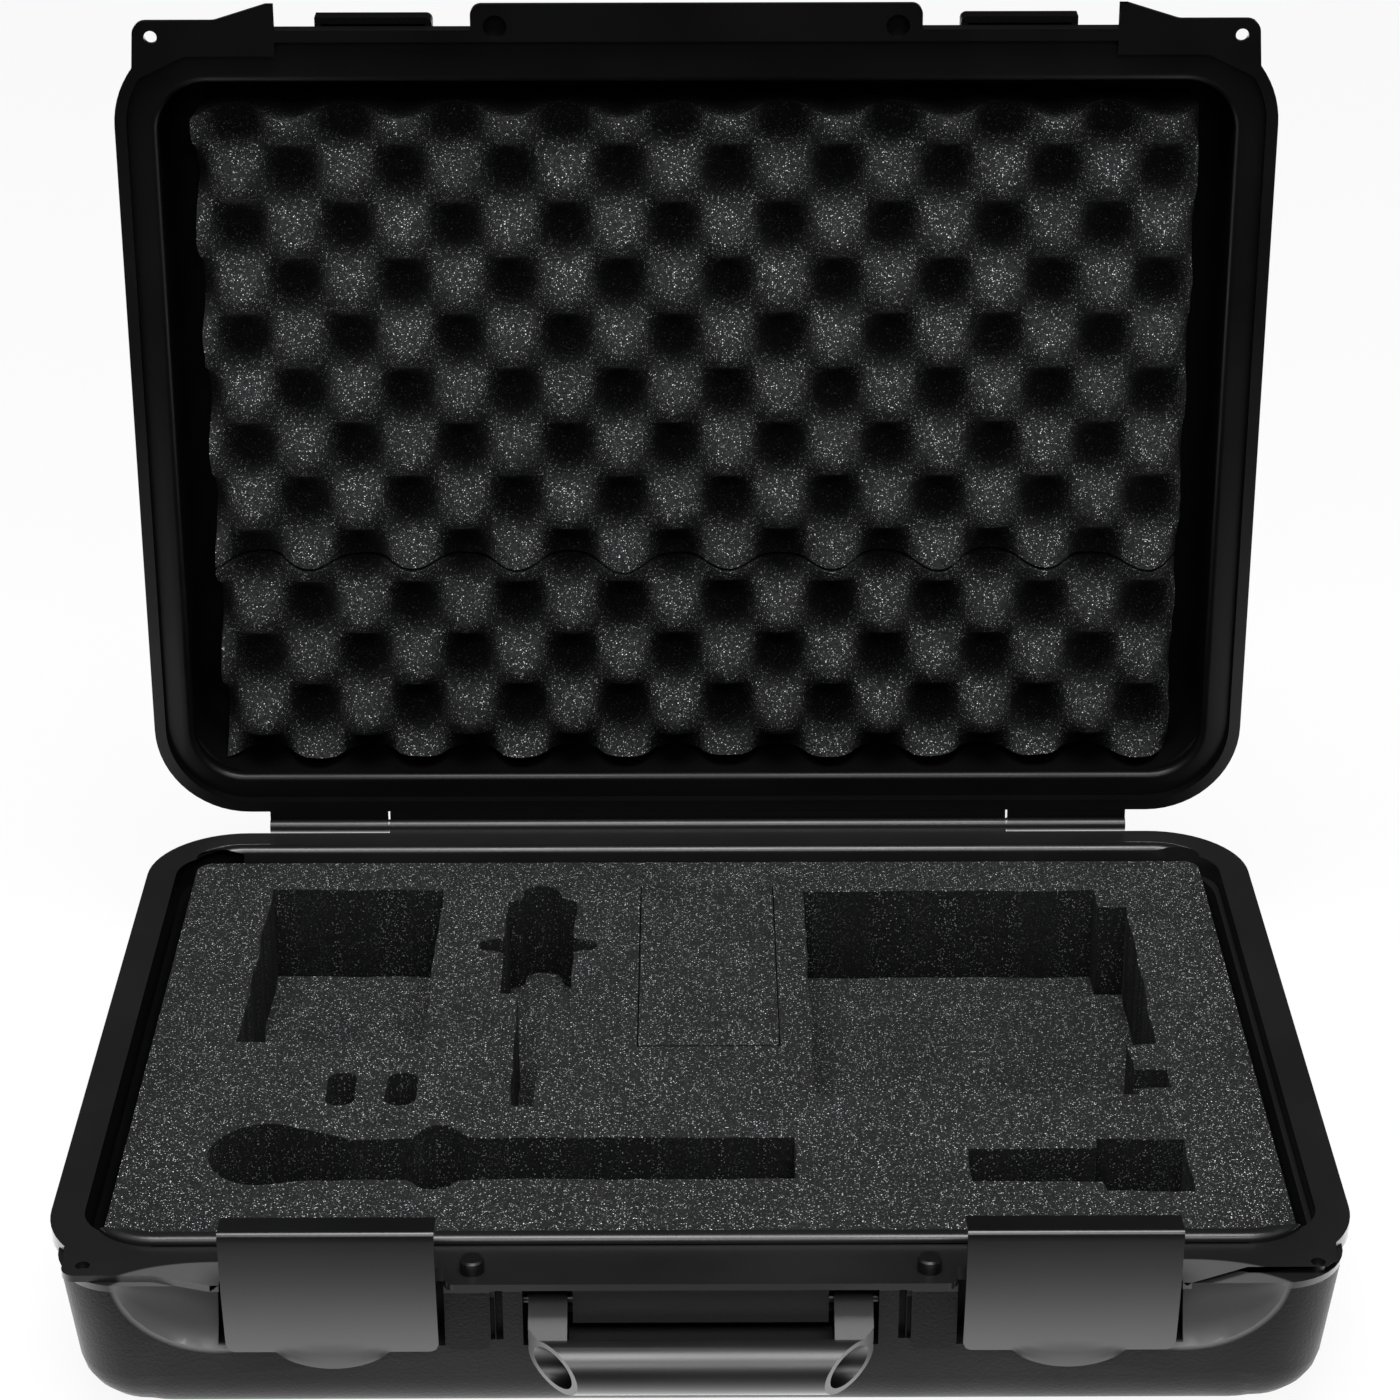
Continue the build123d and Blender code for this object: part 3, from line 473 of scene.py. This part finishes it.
accessory = [(114.5, -126), (170, -126.5), (171, -134), (208, -134.5), (208, -92.5), (170.5, -92),
             (170, -99.5), (114.5, -100)]
plug_hole = [(-28, -10.5), (36.5, -10.5), (36.5, 146.5), (-28, 146.5)]
hand_cuts = ((receiver, 1.2), (pack, 1.3), (clip, 0.9), (well_left, 0.6), (well_right, 0.6),
             (microphone, 1.0), (accessory, 1.0))

cuts = [wobble(resample(loop, 3.0), amount, 17.0, seed + 1) for seed, (loop, amount) in enumerate(hand_cuts)]
cuts.append(resample(plug_hole, 6.0))
block_outline = rounded_rectangle(-FOAM_HALF_X, -FOAM_HALF_Y, FOAM_HALF_X, FOAM_HALF_Y, 8, 6)
pad_outline = rounded_rectangle(4 - FOAM_HALF_X, 2 - FOAM_HALF_Y, FOAM_HALF_X - 4, FOAM_HALF_Y - 2, 24, 8)
plug_outline = [(x * 0.985 + 0.06, y * 0.992 + 0.5) for x, y in plug_hole]
base_foam = slab_with_holes("base_foam_cut", resample(block_outline, 12.0), cuts, FOAM_SPLIT, FOAM_TOP,
                            base_foam_mat, soften=0.5)
foam_pad = slab_with_holes("base_foam_floor_pad", resample(pad_outline, 12.0), [], FOAM_FLOOR,
                           FOAM_SPLIT - 0.1, base_foam_mat, soften=5.5)
plug = slab_with_holes("foam_plug_block", resample(plug_outline, 6.0), [], FOAM_SPLIT, FOAM_TOP + 0.2,
                       base_foam_mat, soften=0.4)
for piece, node_name in ((base_foam, "base_foam"), (foam_pad, "base_foam_floor"), (plug, "foam_plug")):
    dress(piece, "base", node_name)


# Egg-crate foam in the lid. On the open lid, t runs up from the hinge axis and n behind the rim's face
PITCH_X = 51.4
PITCH_T = 55.4
CRATE_X0 = 15.0
CRATE_T0 = -29.6
CRATE_BACK = 46.0
CRATE_MID = 24.0
CRATE_AMP = 15.0
CRATE_STEP = 2.6
TIP_SAG = 3.2
LID_HALF = 236.0
LID_LOW = 28.0
LID_HIGH = 362.0
LOWER_BACK_LIFT = 12.5
SEAM = 135.0


def lid_at(x, t, n):
    """A point of the open lid."""
    return Vector((x * MM, (HINGE_Y + n) * MM, (HINGE_Z + t) * MM))


def across_bumps(x):
    return math.cos(2 * math.pi * (x - CRATE_X0) / PITCH_X)


def crate_depth(x, t):
    """Distance of the foam's face behind the rim's face."""
    wave = across_bumps(x) * math.cos(2 * math.pi * (t - CRATE_T0) / PITCH_T)
    shaped = math.copysign(abs(wave) ** 0.82, wave)
    rough = noise.noise(Vector((x / 30, t / 30, 4.0))) * 1.2
    return CRATE_MID - CRATE_AMP * shaped + rough


def crate_face(low, high, low_wave, high_wave):
    """Rows of points over the bumps, from the pad's lower edge to its upper one."""
    columns = int(2 * LID_HALF / CRATE_STEP)
    steps_up = int((high - low) / CRATE_STEP)
    rows = []
    for j in range(steps_up + 1):
        row = []
        for i in range(columns + 1):
            x = -LID_HALF + 2 * LID_HALF * i / columns
            bottom = low + low_wave(x)
            top = high + high_wave(x)
            t = bottom + (top - bottom) * j / steps_up
            n = crate_depth(x, t)
            proud = max(0.0, (CRATE_MID - n) / CRATE_AMP)
            near_edge = max(0.0, 1 - min(i, columns - i) / 3.0)
            stray = abs(1.6 * near_edge * noise.noise(Vector((x / 9, t / 14, 1.0))))
            row.append(lid_at(x - math.copysign(stray, x), t - TIP_SAG * proud ** 1.5, n))
        rows.append(row)
    return rows


def crate_pad(name, low, high, low_wave, high_wave, back_lift=0.0):
    bm = bmesh.new()
    rows = [[bm.verts.new(point) for point in row] for row in crate_face(low, high, low_wave, high_wave)]
    for under, over in zip(rows, rows[1:]):
        for i in range(len(under) - 1):
            bm.faces.new((under[i], under[i + 1], over[i + 1], over[i]))

    # Its edges and its flat back
    ring = (rows[0] + [row[-1] for row in rows[1:]] + rows[-1][-2::-1] + [row[0] for row in rows[-2:0:-1]])
    lowest = (HINGE_Z + low + back_lift) * MM
    highest = (HINGE_Z + high) * MM
    back = [bm.verts.new((v.co.x * 0.99, (HINGE_Y + CRATE_BACK) * MM, min(max(v.co.z, lowest), highest)))
            for v in ring]
    for k in range(len(ring)):
        j = (k + 1) % len(ring)
        bm.faces.new((ring[k], back[k], back[j], ring[j]))
    bm.faces.new(back)
    bmesh.ops.recalc_face_normals(bm, faces=bm.faces)
    obj = new_object(name, bm, lid_foam_mat)
    smooth_by_angle(obj, 60)
    return obj


def seam_wave(x):
    return 2.4 * across_bumps(x) + 4.0 * noise.noise(Vector((x / 60, 9.0, 0.0)))


def bottom_wave(x):
    return 2.5 - 3.0 * across_bumps(x - PITCH_X / 2) + noise.noise(Vector((x / 40, 3.0, 0.0)))


def top_wave(x):
    return 1.2 * noise.noise(Vector((x / 60, 5.0, 0.0)))


upper = crate_pad("crate_foam_upper", SEAM + 0.4, LID_HIGH, seam_wave, top_wave)
lower = crate_pad("crate_foam_lower", LID_LOW, SEAM - 1.6, bottom_wave, seam_wave, LOWER_BACK_LIFT)
for piece, node_name in ((upper, "lid_foam_upper"), (lower, "lid_foam_lower")):
    dress(piece, "lid", node_name)


# Solids that add to the shells and cut them
def base_at(x, y, z):
    return Vector((x * MM, y * MM, z * MM))


def from_front(x, z, y):
    """A point of an outline drawn as seen from the front, at a place along Y."""
    return base_at(x, y, z)


def from_side(y, z, x):
    """A point of an outline drawn as seen from the side, at a place along X."""
    return base_at(x, y, z)


def lofted(rings, at):
    """A closed solid through rings of as many points each, given as (outline, height)."""
    bm = bmesh.new()
    loops = [[bm.verts.new(at(u, v, height)) for u, v in outline] for outline, height in rings]
    for low, high in zip(loops, loops[1:]):
        for i in range(len(low)):
            j = (i + 1) % len(low)
            bm.faces.new((low[i], low[j], high[j], high[i]))
    bm.faces.new(list(reversed(loops[0])))
    bm.faces.new(loops[-1])
    bmesh.ops.recalc_face_normals(bm, faces=bm.faces)
    return new_object("tool", bm, shell_mat)


def prism(outline, low, high, at):
    return lofted([(outline, low), (outline, high)], at)


def combine(target, tool, operation):
    """The tool is added to the target or cut from it, and is gone afterwards."""
    change = target.modifiers.new(operation, "BOOLEAN")
    change.operation = operation
    change.solver = "EXACT"
    change.object = tool
    graph = bpy.context.evaluated_depsgraph_get()
    mesh = bpy.data.meshes.new_from_object(target.evaluated_get(graph))
    target.modifiers.clear()
    old = target.data
    target.data = mesh
    bpy.data.meshes.remove(old)
    bpy.data.objects.remove(tool)


def add_to(target, tool):
    combine(target, tool, "UNION")


def cut_from(target, tool):
    combine(target, tool, "DIFFERENCE")


def copy_of(node_name, name):
    """A solid's mesh in a new object, with its vertices joined."""
    mesh = frame["nodes"][node_name].data.copy()
    mesh.name = name
    bm = bmesh.new()
    bm.from_mesh(mesh)
    bmesh.ops.remove_doubles(bm, verts=bm.verts, dist=2e-6)
    bmesh.ops.dissolve_degenerate(bm, edges=bm.edges, dist=1e-6)
    bm.to_mesh(mesh)
    bm.free()
    return linked(name, mesh)


# Ears with padlock holes, the same on both shells
EAR = eased([(193.4, -186.5), (193.4, -210.5), (197, -210.5), (221, -203), (258, -203), (260, -174.5),
             (235, -186.5)], {3: 9, 4: 6})
PADLOCK_X = 250
PADLOCK_Y = -195.5
PADLOCK_R = 3.06


def pierced_ear(side, outline, low, high, hole_v, at):
    piece = prism(on_side(side, outline), low, high, at)
    cut_from(piece, prism(circle(side * PADLOCK_X, hole_v, PADLOCK_R, 24), low - 2, high + 2, at))
    return piece


# Base: fuller walls, a sealing lip near the rim's edge, ears, smooth scoops, pads, slots and a sill
WALL_HALF = 262.5
WALL_FRONT = -206
WALL_BACK = 186.5
WALL_CORNER = 28
WALL_TOP = 66.9
BOTTOM_ROUND = 22
SIDE_DRAFT = 9.5
END_DRAFT = 4
DRAFT_HEIGHT = 64
BAYS_HALF = 196
LIP_HALF = 263
LIP_REACH = 181.5
LIP_WIDTH = 8
LIP_FOOT = 66
LIP_ROUNDING = ((73.6, 0.0), (74.5, 0.4))
LIP_TOP = 74.8
SCOOP_STEPS = 20
PAD = eased([(85, 37), (103.5, 37), (103.5, 67.5), (85, 67.5)], {0: 3, 1: 3})
SLOT_X = 81.5
SLOT_HALF = 1.5
SILL = [(-54, 36), (54, 36), (54, 43.5), (-54, 43.5)]


def fuller_walls():
    """Walls round the tub, rounded below, with the bays of the latches and the handle left free."""
    rings = []
    for degrees in range(0, 91, 15):
        a = math.radians(degrees)
        z = BOTTOM_ROUND * (1 - math.cos(a))
        pull = BOTTOM_ROUND * (1 - math.sin(a))
        side = SIDE_DRAFT * (1 - z / DRAFT_HEIGHT) + pull
        end = END_DRAFT * (1 - z / DRAFT_HEIGHT) + pull
        corner = max(WALL_CORNER - side * 0.5, 8)
        rings.append((centred(WALL_HALF - side, end + WALL_FRONT, WALL_BACK - end, corner), z))
    rings.append((centred(WALL_HALF, WALL_FRONT, WALL_BACK, WALL_CORNER), WALL_TOP))
    walls = lofted(rings, base_at)
    tub = [(centred(251, -184.5, 180.5, 27), 2), (centred(255, -188.5, 184.5, 31), 80)]
    cut_from(walls, lofted(tub, base_at))
    cut_from(walls, prism(centred(BAYS_HALF, -260, -100, 1, 1), -5, 90, base_at))
    return walls


def lip_outline(inset):
    reach = LIP_REACH - inset
    return centred(LIP_HALF - inset, -reach, reach, WALL_CORNER - inset)


def sealing_lip():
    rounded = [(lip_outline(inset), z) for z, inset in LIP_ROUNDING]
    lip = lofted([(lip_outline(0), LIP_FOOT)] + rounded + [(lip_outline(1.2), LIP_TOP)], base_at)
    opened = [(lip_outline(LIP_WIDTH - inset), z) for z, inset in LIP_ROUNDING]
    cut_from(lip, lofted([(lip_outline(LIP_WIDTH), 60)] + opened + [(lip_outline(LIP_WIDTH - 1.2), 75.2)],
                         base_at))
    return lip


def scoop(side):
    """The lower half of a ball-like hollow beside a latch, carried straight up to the rim."""
    cx, cy, cz = SCOOP_CENTRE
    rx, ry, rz = SCOOP_REACH
    rings = []
    for k in range(1, SCOOP_STEPS // 2):
        a = math.pi * k / SCOOP_STEPS
        unit = circle(0, 0, math.sin(a), 48)
        rings.append(([(side * cx + rx * u, cy + ry * v) for u, v in unit], cz - rz * math.cos(a)))
    rings.append((rings[-1][0], WALL_TOP))
    return lofted(rings, base_at)


base = copy_of("base_shell", "base_shell_dressed")
add_to(base, fuller_walls())
cut_from(base, prism(lip_outline(LIP_WIDTH), 60, 80, base_at))
add_to(base, sealing_lip())
for side in (1, -1):
    add_to(base, pierced_ear(side, EAR, 66.96, 69.97, PADLOCK_Y, base_at))
for side in (-1, 1):
    cut_from(base, scoop(side))
    add_to(base, prism(on_side(side, PAD), -207, -189, from_front))
    low_x, high_x = side * SLOT_X - SLOT_HALF, side * SLOT_X + SLOT_HALF
    cut_from(base, prism([(low_x, 40), (high_x, 40), (high_x, 64), (low_x, 64)], -215, -200, from_front))
add_to(base, prism(SILL, -205.6, -189, from_front))


# Lid: a deeper rim, a wider mouth with a rolled edge, the same ears and the pegs' sockets
RIM_DEPTH = 5.3
RIM_BACK = 9.5
SEAT_INSET = 4.5
MOUTH_HALF = 250
MOUTH_LOW = 25.5
MOUTH_HIGH = 379
MOUTH_CORNER = 24
MOUTH_ROLL = 3.5
SOCKET_R = 5.4


def rim_outline(inset):
    return centred(268 - inset, 9 + inset, 404 - inset, 44 - inset)


def mouth():
    """The opening into the lid, with its rolled edge, as a solid to be cut out."""
    rolled = []
    for degrees in range(0, 91, 15):
        a = math.radians(degrees)
        out = MOUTH_ROLL * (1 - math.sin(a))
        outline = centred(MOUTH_HALF + out, MOUTH_LOW - out, MOUTH_HIGH + out, MOUTH_CORNER + out)
        rolled.append((outline, RIM_DEPTH + MOUTH_ROLL * (1 - math.cos(a))))
    return lofted([(rolled[0][0], -4)] + rolled + [(rolled[-1][0], RIM_BACK + 0.1)], lid_at)


def peg_socket(hand):
    """The lid's socket for an alignment peg, round the middle of the peg."""
    corners = frame["nodes"]["alignment_peg_" + hand].data.vertices
    xs = [v.co.x / MM for v in corners]
    ys = [v.co.y / MM for v in corners]
    x = (min(xs) + max(xs)) / 2
    t = HINGE_Y - (min(ys) + max(ys)) / 2
    return prism(circle(x, t, SOCKET_R, 24), 4.9, 6.6, lid_at)


lid = copy_of("lid_shell", "lid_shell_dressed")
add_to(lid, prism(rim_outline(0), RIM_DEPTH, RIM_BACK, lid_at))
cut_from(lid, prism(rim_outline(SEAT_INSET), -3, RIM_DEPTH, lid_at))
cut_from(lid, mouth())
lid_ear = [(x, HINGE_Y - y) for x, y in EAR]
for side in (1, -1):
    add_to(lid, pierced_ear(side, lid_ear, 0.03, 3.04, HINGE_Y - PADLOCK_Y, lid_at))
for hand, _ in SIDES:
    cut_from(lid, peg_socket(hand))
for piece, node_name, body in ((base, "base_shell", "base"), (lid, "lid_shell", "lid")):
    smooth_by_angle(piece, 32)
    paint(piece, shell_mat)
    dress(piece, body, node_name)


# Latch plates: u runs back and v up from the plate's pin, in the plate's own lean, and w along its width
PLATE_LEAN = math.radians(8.4)
PLATE_HALF = 43
PLATE_THICK = 2.0
PLATE_FRONT = -12.9
PLATE_BOW = 1.4
PLATE_MIDDLE = 27
PLATE_FOOT = -7.5
FOOT_CORNER = 4
TAB_HALF = 22.5
TAB_DROP = 8.5
TAB_PROUD = 0.7
CREASE_R = 2.3
CREASE_U = -9.3
CREASE_V = 51.7
CHEEK_W = 29.5
CHEEK_HALF = 1.5
CHEEK_R = 3.8


def plate_frame(hand):
    pin_x, pin_y, pin_z = joint_place("latch_plate_" + hand)

    def at(u, v, w):
        y = pin_y + u * math.cos(PLATE_LEAN) - v * math.sin(PLATE_LEAN)
        z = pin_z + u * math.sin(PLATE_LEAN) + v * math.cos(PLATE_LEAN)
        return base_at(pin_x + w, y, z)
    return at


def plate_face(v):
    """How far the plate's front stands forward at a height: bowed, with the finger tab set forward."""
    if v < PLATE_FOOT:
        return plate_face(PLATE_FOOT) - TAB_PROUD * min(1.0, (PLATE_FOOT - v) / 2.2)
    span = PLATE_MIDDLE - PLATE_FOOT if v < PLATE_MIDDLE else PLATE_MIDDLE
    return PLATE_FRONT + PLATE_BOW * ((v - PLATE_MIDDLE) / span) ** 2


def plate_low(w):
    """Where the plate ends below, at a place along its width: rounded corners and a round tab."""
    low = PLATE_FOOT
    past = abs(w) - (PLATE_HALF - FOOT_CORNER)
    if past > 0:
        low += FOOT_CORNER - math.sqrt(max(0.0, FOOT_CORNER ** 2 - past ** 2))
    if abs(w) < TAB_HALF:
        low -= TAB_DROP * (1 - (abs(w) / TAB_HALF) ** 2) ** 0.8
    return low


def plate_section(w):
    low = plate_low(w)
    crease = arc(CREASE_U, CREASE_V, CREASE_R, 90, 165, 5)
    heights = [50, 44, 38, 32, 26, 20, 14, 8, 3, -2] + [-2 + (low + 2) * k / 4 for k in range(1, 5)]
    face = [(plate_face(v), v) for v in heights]
    back = [(u + PLATE_THICK, max(v, low)) for u, v in reversed(face)]
    return [(3, 51), (-8.4, 53.8)] + crease + face + back + [(-9.2, 51.2), (3, 48.6)]


def joined_loops(bm, loops):
    """Faces from loop to loop, and one over each end."""
    for a, b in zip(loops, loops[1:]):
        for k in range(len(a)):
            n = (k + 1) % len(a)
            bm.faces.new((a[k], a[n], b[n], b[k]))
    for end in (loops[0], loops[-1]):
        bm.faces.new(end)


def latch_plate(hand):
    """A bowed sheet with a rounded crease, a lip over the top, a finger tab below and two cheeks."""
    bm = bmesh.new()
    at = plate_frame(hand)
    widths = range(-PLATE_HALF, PLATE_HALF + 1)
    joined_loops(bm, [[bm.verts.new(at(u, v, w)) for u, v in plate_section(w)] for w in widths])
    half_round = [(u, v) for v, u in arc(0, 0, CHEEK_R, 0, 180, 12)]
    cheek = [(CREASE_U, -CHEEK_R), (CREASE_U, CHEEK_R)] + half_round
    for middle in (-CHEEK_W, CHEEK_W):
        ends = (middle - CHEEK_HALF, middle + CHEEK_HALF)
        joined_loops(bm, [[bm.verts.new(at(u, v, w)) for u, v in cheek] for w in ends])
    bmesh.ops.recalc_face_normals(bm, faces=bm.faces)
    plate = new_object("latch_plate_" + hand + "_dressed", bm, latch_mat)
    smooth_by_angle(plate, 36)
    return plate


for hand, _ in SIDES:
    dress(latch_plate(hand), "latch_plate_" + hand, "latch_plate_" + hand)


# Hinge pins, each with a dark steel disc filling the gap between two knuckles as painted shade
PIN_R = 1.45
PIN_FROM = 122
PIN_TO = 211
# Painted shade: a dark disc fills the gap between two knuckles, where only shade is seen.
GAP_SHADE_DISC_R = 3.3
GAP_SHADE_DISC_FROM = 154.1
GAP_SHADE_DISC_TO = 154.9

for hand, side in SIDES:
    thin = circle(HINGE_Y, HINGE_Z, PIN_R, 30)
    wide = circle(HINGE_Y, HINGE_Z, GAP_SHADE_DISC_R, 30)
    rings = [(thin, PIN_FROM), (thin, GAP_SHADE_DISC_FROM), (wide, GAP_SHADE_DISC_FROM),
             (wide, GAP_SHADE_DISC_TO), (thin, GAP_SHADE_DISC_TO), (thin, PIN_TO)]
    pin = lofted([(outline, side * x) for outline, x in rings], from_side)
    pin.name = "hinge_pin_" + hand + "_dressed"
    paint(pin, steel_mat)
    smooth_by_angle(pin, 36)
    dress(pin, "base", "hinge_pin_" + hand)


# Handle: a round grip whose hollow ends slant back from the front, on two flat arms
GRIP_Y = -217.5
GRIP_Z = 35.0
GRIP_R = 11
GRIP_HOLLOW = 8.5
GRIP_HALF = 70
ARM_FROM = 54
ARM_TO = 69.8
ARM_HALF = 4.5
CUT_X = 59.77
CUT_SLOPE = 0.93
CUT_REACH = 22
CUT_TILT = math.radians(12)
PIVOT_Y, PIVOT_Z = joint_place("handle_swing")[1:]


def arm_outline():
    """An arm as seen from the side: round at its pivot, and as far as the middle of the grip."""
    reach = Vector((GRIP_Y - PIVOT_Y, GRIP_Z - PIVOT_Z)).normalized()
    across = Vector((-reach.y, reach.x)) * ARM_HALF
    start = math.degrees(math.atan2(across.y, across.x))
    return arc(PIVOT_Y, PIVOT_Z, ARM_HALF, start, start + 180, 12) + [
        (GRIP_Y - across.x, GRIP_Z - across.y), (GRIP_Y + across.x, GRIP_Z + across.y)]


def tilted_at(x, v, h):
    """A point of the slanting cut, tilted back round the grip's middle."""
    y = GRIP_Y + v * math.cos(CUT_TILT) - h * math.sin(CUT_TILT)
    z = GRIP_Z + v * math.sin(CUT_TILT) + h * math.cos(CUT_TILT)
    return base_at(x, y, z)


handle = prism(circle(GRIP_Y, GRIP_Z, GRIP_R, 40), -GRIP_HALF, GRIP_HALF, from_side)
for _, side in SIDES:
    add_to(handle, prism(arm_outline(), side * ARM_FROM, side * ARM_TO, from_side))
hollow = circle(GRIP_Y, GRIP_Z, GRIP_HOLLOW, 40)
cut_from(handle, prism(hollow, -GRIP_HALF - 10, GRIP_HALF + 10, from_side))
slant = CUT_SLOPE * CUT_REACH
for _, side in SIDES:
    wedge = [(side * (CUT_X + slant), CUT_REACH), (side * (CUT_X + slant), -CUT_REACH),
             (side * (CUT_X - slant), -CUT_REACH)]
    cut_from(handle, prism(wedge, -CUT_REACH, CUT_REACH, tilted_at))
handle.name = "handle_dressed"
paint(handle, handle_mat)
smooth_by_angle(handle, 32)
dress(handle, "handle", "handle")


# Floor: pale paper that the camera sees white, and whose strip in front of the case shines in the plastic
FLOOR_WHITE_SHARE = 0.93
STRIP_FROM = -0.75
STRIP_TO = -0.22
STRIP_STOPS = ((0.0, 0.0), (0.5, 0.015), (0.66, 0.04), (0.8, 0.12), (0.89, 0.3), (0.97, 1.0))
STRIP_STRENGTH = 3.2


def pale_floor():
    bm = bmesh.new()
    bmesh.ops.create_grid(bm, x_segments=8, y_segments=8, size=6.0)
    mat, tree, bsdf, out = node_material("floor_paper")
    bsdf.inputs["Base Color"].default_value = (0.88, 0.88, 0.88, 1.0)
    bsdf.inputs["Roughness"].default_value = 0.9
    path = new_node(tree, "ShaderNodeLightPath").outputs
    place = new_node(tree, "ShaderNodeTexCoord").outputs["Object"]
    along = ranged(tree, parts_of(tree, place)["Y"], STRIP_FROM, STRIP_TO)
    strip = ramp(tree, along, [(stop, grey(level)) for stop, level in STRIP_STOPS])
    shining = math_node(tree, "MULTIPLY", strip, STRIP_STRENGTH)
    reflected = math_node(tree, "MULTIPLY", path["Is Glossy Ray"], shining)
    strength = math_node(tree, "MAXIMUM", path["Is Camera Ray"], reflected)
    seen = math_node(tree, "MAXIMUM", path["Is Camera Ray"], path["Is Glossy Ray"])
    glow = new_node(tree, "ShaderNodeEmission", inputs={"Strength": strength})
    blend = new_node(tree, "ShaderNodeMixShader", inputs={
        0: math_node(tree, "MULTIPLY", seen, FLOOR_WHITE_SHARE),
        1: bsdf.outputs["BSDF"], 2: glow.outputs["Emission"]})
    tree.links.new(blend.outputs["Shader"], out.inputs["Surface"])
    floor = new_object("studio_floor", bm, mat)
    floor.location = (0, 0, -0.5 * MM)


pale_floor()


# World: white to the camera, dim as a light, and a brighter sky above the front in reflections
SKY_DIM = 0.05
SKY_REFLECTED = 0.8
WHITE_STRENGTH = 1.05


def studio_world():
    world = bpy.data.worlds.new("studio")
    bpy.context.scene.world = world
    world.use_nodes = True
    tree = world.node_tree
    tree.nodes.clear()
    path = new_node(tree, "ShaderNodeLightPath").outputs
    way = parts_of(tree, new_node(tree, "ShaderNodeTexCoord").outputs["Generated"])
    high = ranged(tree, way["Z"], 0.25, 0.75, shape="SMOOTHSTEP")
    ahead = ranged(tree, way["Y"], 0.25, -0.35, shape="SMOOTHSTEP")
    upper_front = math_node(tree, "MULTIPLY", high, ahead)
    shown = math_node(tree, "MULTIPLY", upper_front, path["Is Glossy Ray"])
    level = math_node(tree, "MULTIPLY_ADD", shown, SKY_REFLECTED, SKY_DIM)
    plain_white = {"Color": (1, 1, 1, 1)}
    sky = new_node(tree, "ShaderNodeBackground", inputs={**plain_white, "Strength": level})
    white = new_node(tree, "ShaderNodeBackground", inputs={**plain_white, "Strength": WHITE_STRENGTH})
    mixed = new_node(tree, "ShaderNodeMixShader", inputs={
        0: path["Is Camera Ray"], 1: sky.outputs["Background"], 2: white.outputs["Background"]})
    new_node(tree, "ShaderNodeOutputWorld", inputs={"Surface": mixed.outputs["Shader"]})


studio_world()


# Lamps: a large one above and a smaller one in front, in metres and watts
def area_lamp(name, place, target, width, height, watts):
    lamp = bpy.data.lights.new(name, "AREA")
    lamp.shape = "RECTANGLE"
    lamp.size = width
    lamp.size_y = height
    lamp.energy = watts
    obj = linked(name, lamp)
    obj.location = place
    obj.rotation_euler = (Vector(target) - Vector(place)).to_track_quat("-Z", "Y").to_euler()


area_lamp("top_softbox", (0.0, -0.35, 1.75), (0.0, 0.0, 0.1), 1.1, 0.8, 42.0)
area_lamp("front_softbox", (0.1, -1.5, 1.4), (0.0, 0.0, 0.15), 1.0, 0.5, 15.0)


# Camera, as fitted to the photo
FOCAL_PIXELS = 3783.5
PICTURE_PIXELS = 1400
SENSOR_MM = 36.0
CAMERA_PLACE = (-0.00366, -1.49671, 0.90775)
CAMERA_FORWARD = (0.00259, 0.91140, -0.41152)
CAMERA_UP = (0.00262, 0.41151, 0.91140)

camera_data = bpy.data.cameras.new("photo_camera")
camera_data.sensor_fit = "HORIZONTAL"
camera_data.sensor_width = SENSOR_MM
camera_data.lens = FOCAL_PIXELS / PICTURE_PIXELS * SENSOR_MM
camera_data.clip_end = 50.0
camera = linked("photo_camera", camera_data)
forward = Vector(CAMERA_FORWARD).normalized()
right = forward.cross(Vector(CAMERA_UP)).normalized()
up = right.cross(forward).normalized()
turned = Matrix((right, up, -forward)).transposed().to_4x4()
camera.matrix_world = Matrix.Translation(CAMERA_PLACE) @ turned
bpy.context.scene.camera = camera
bpy.context.scene.view_settings.view_transform = "Standard"
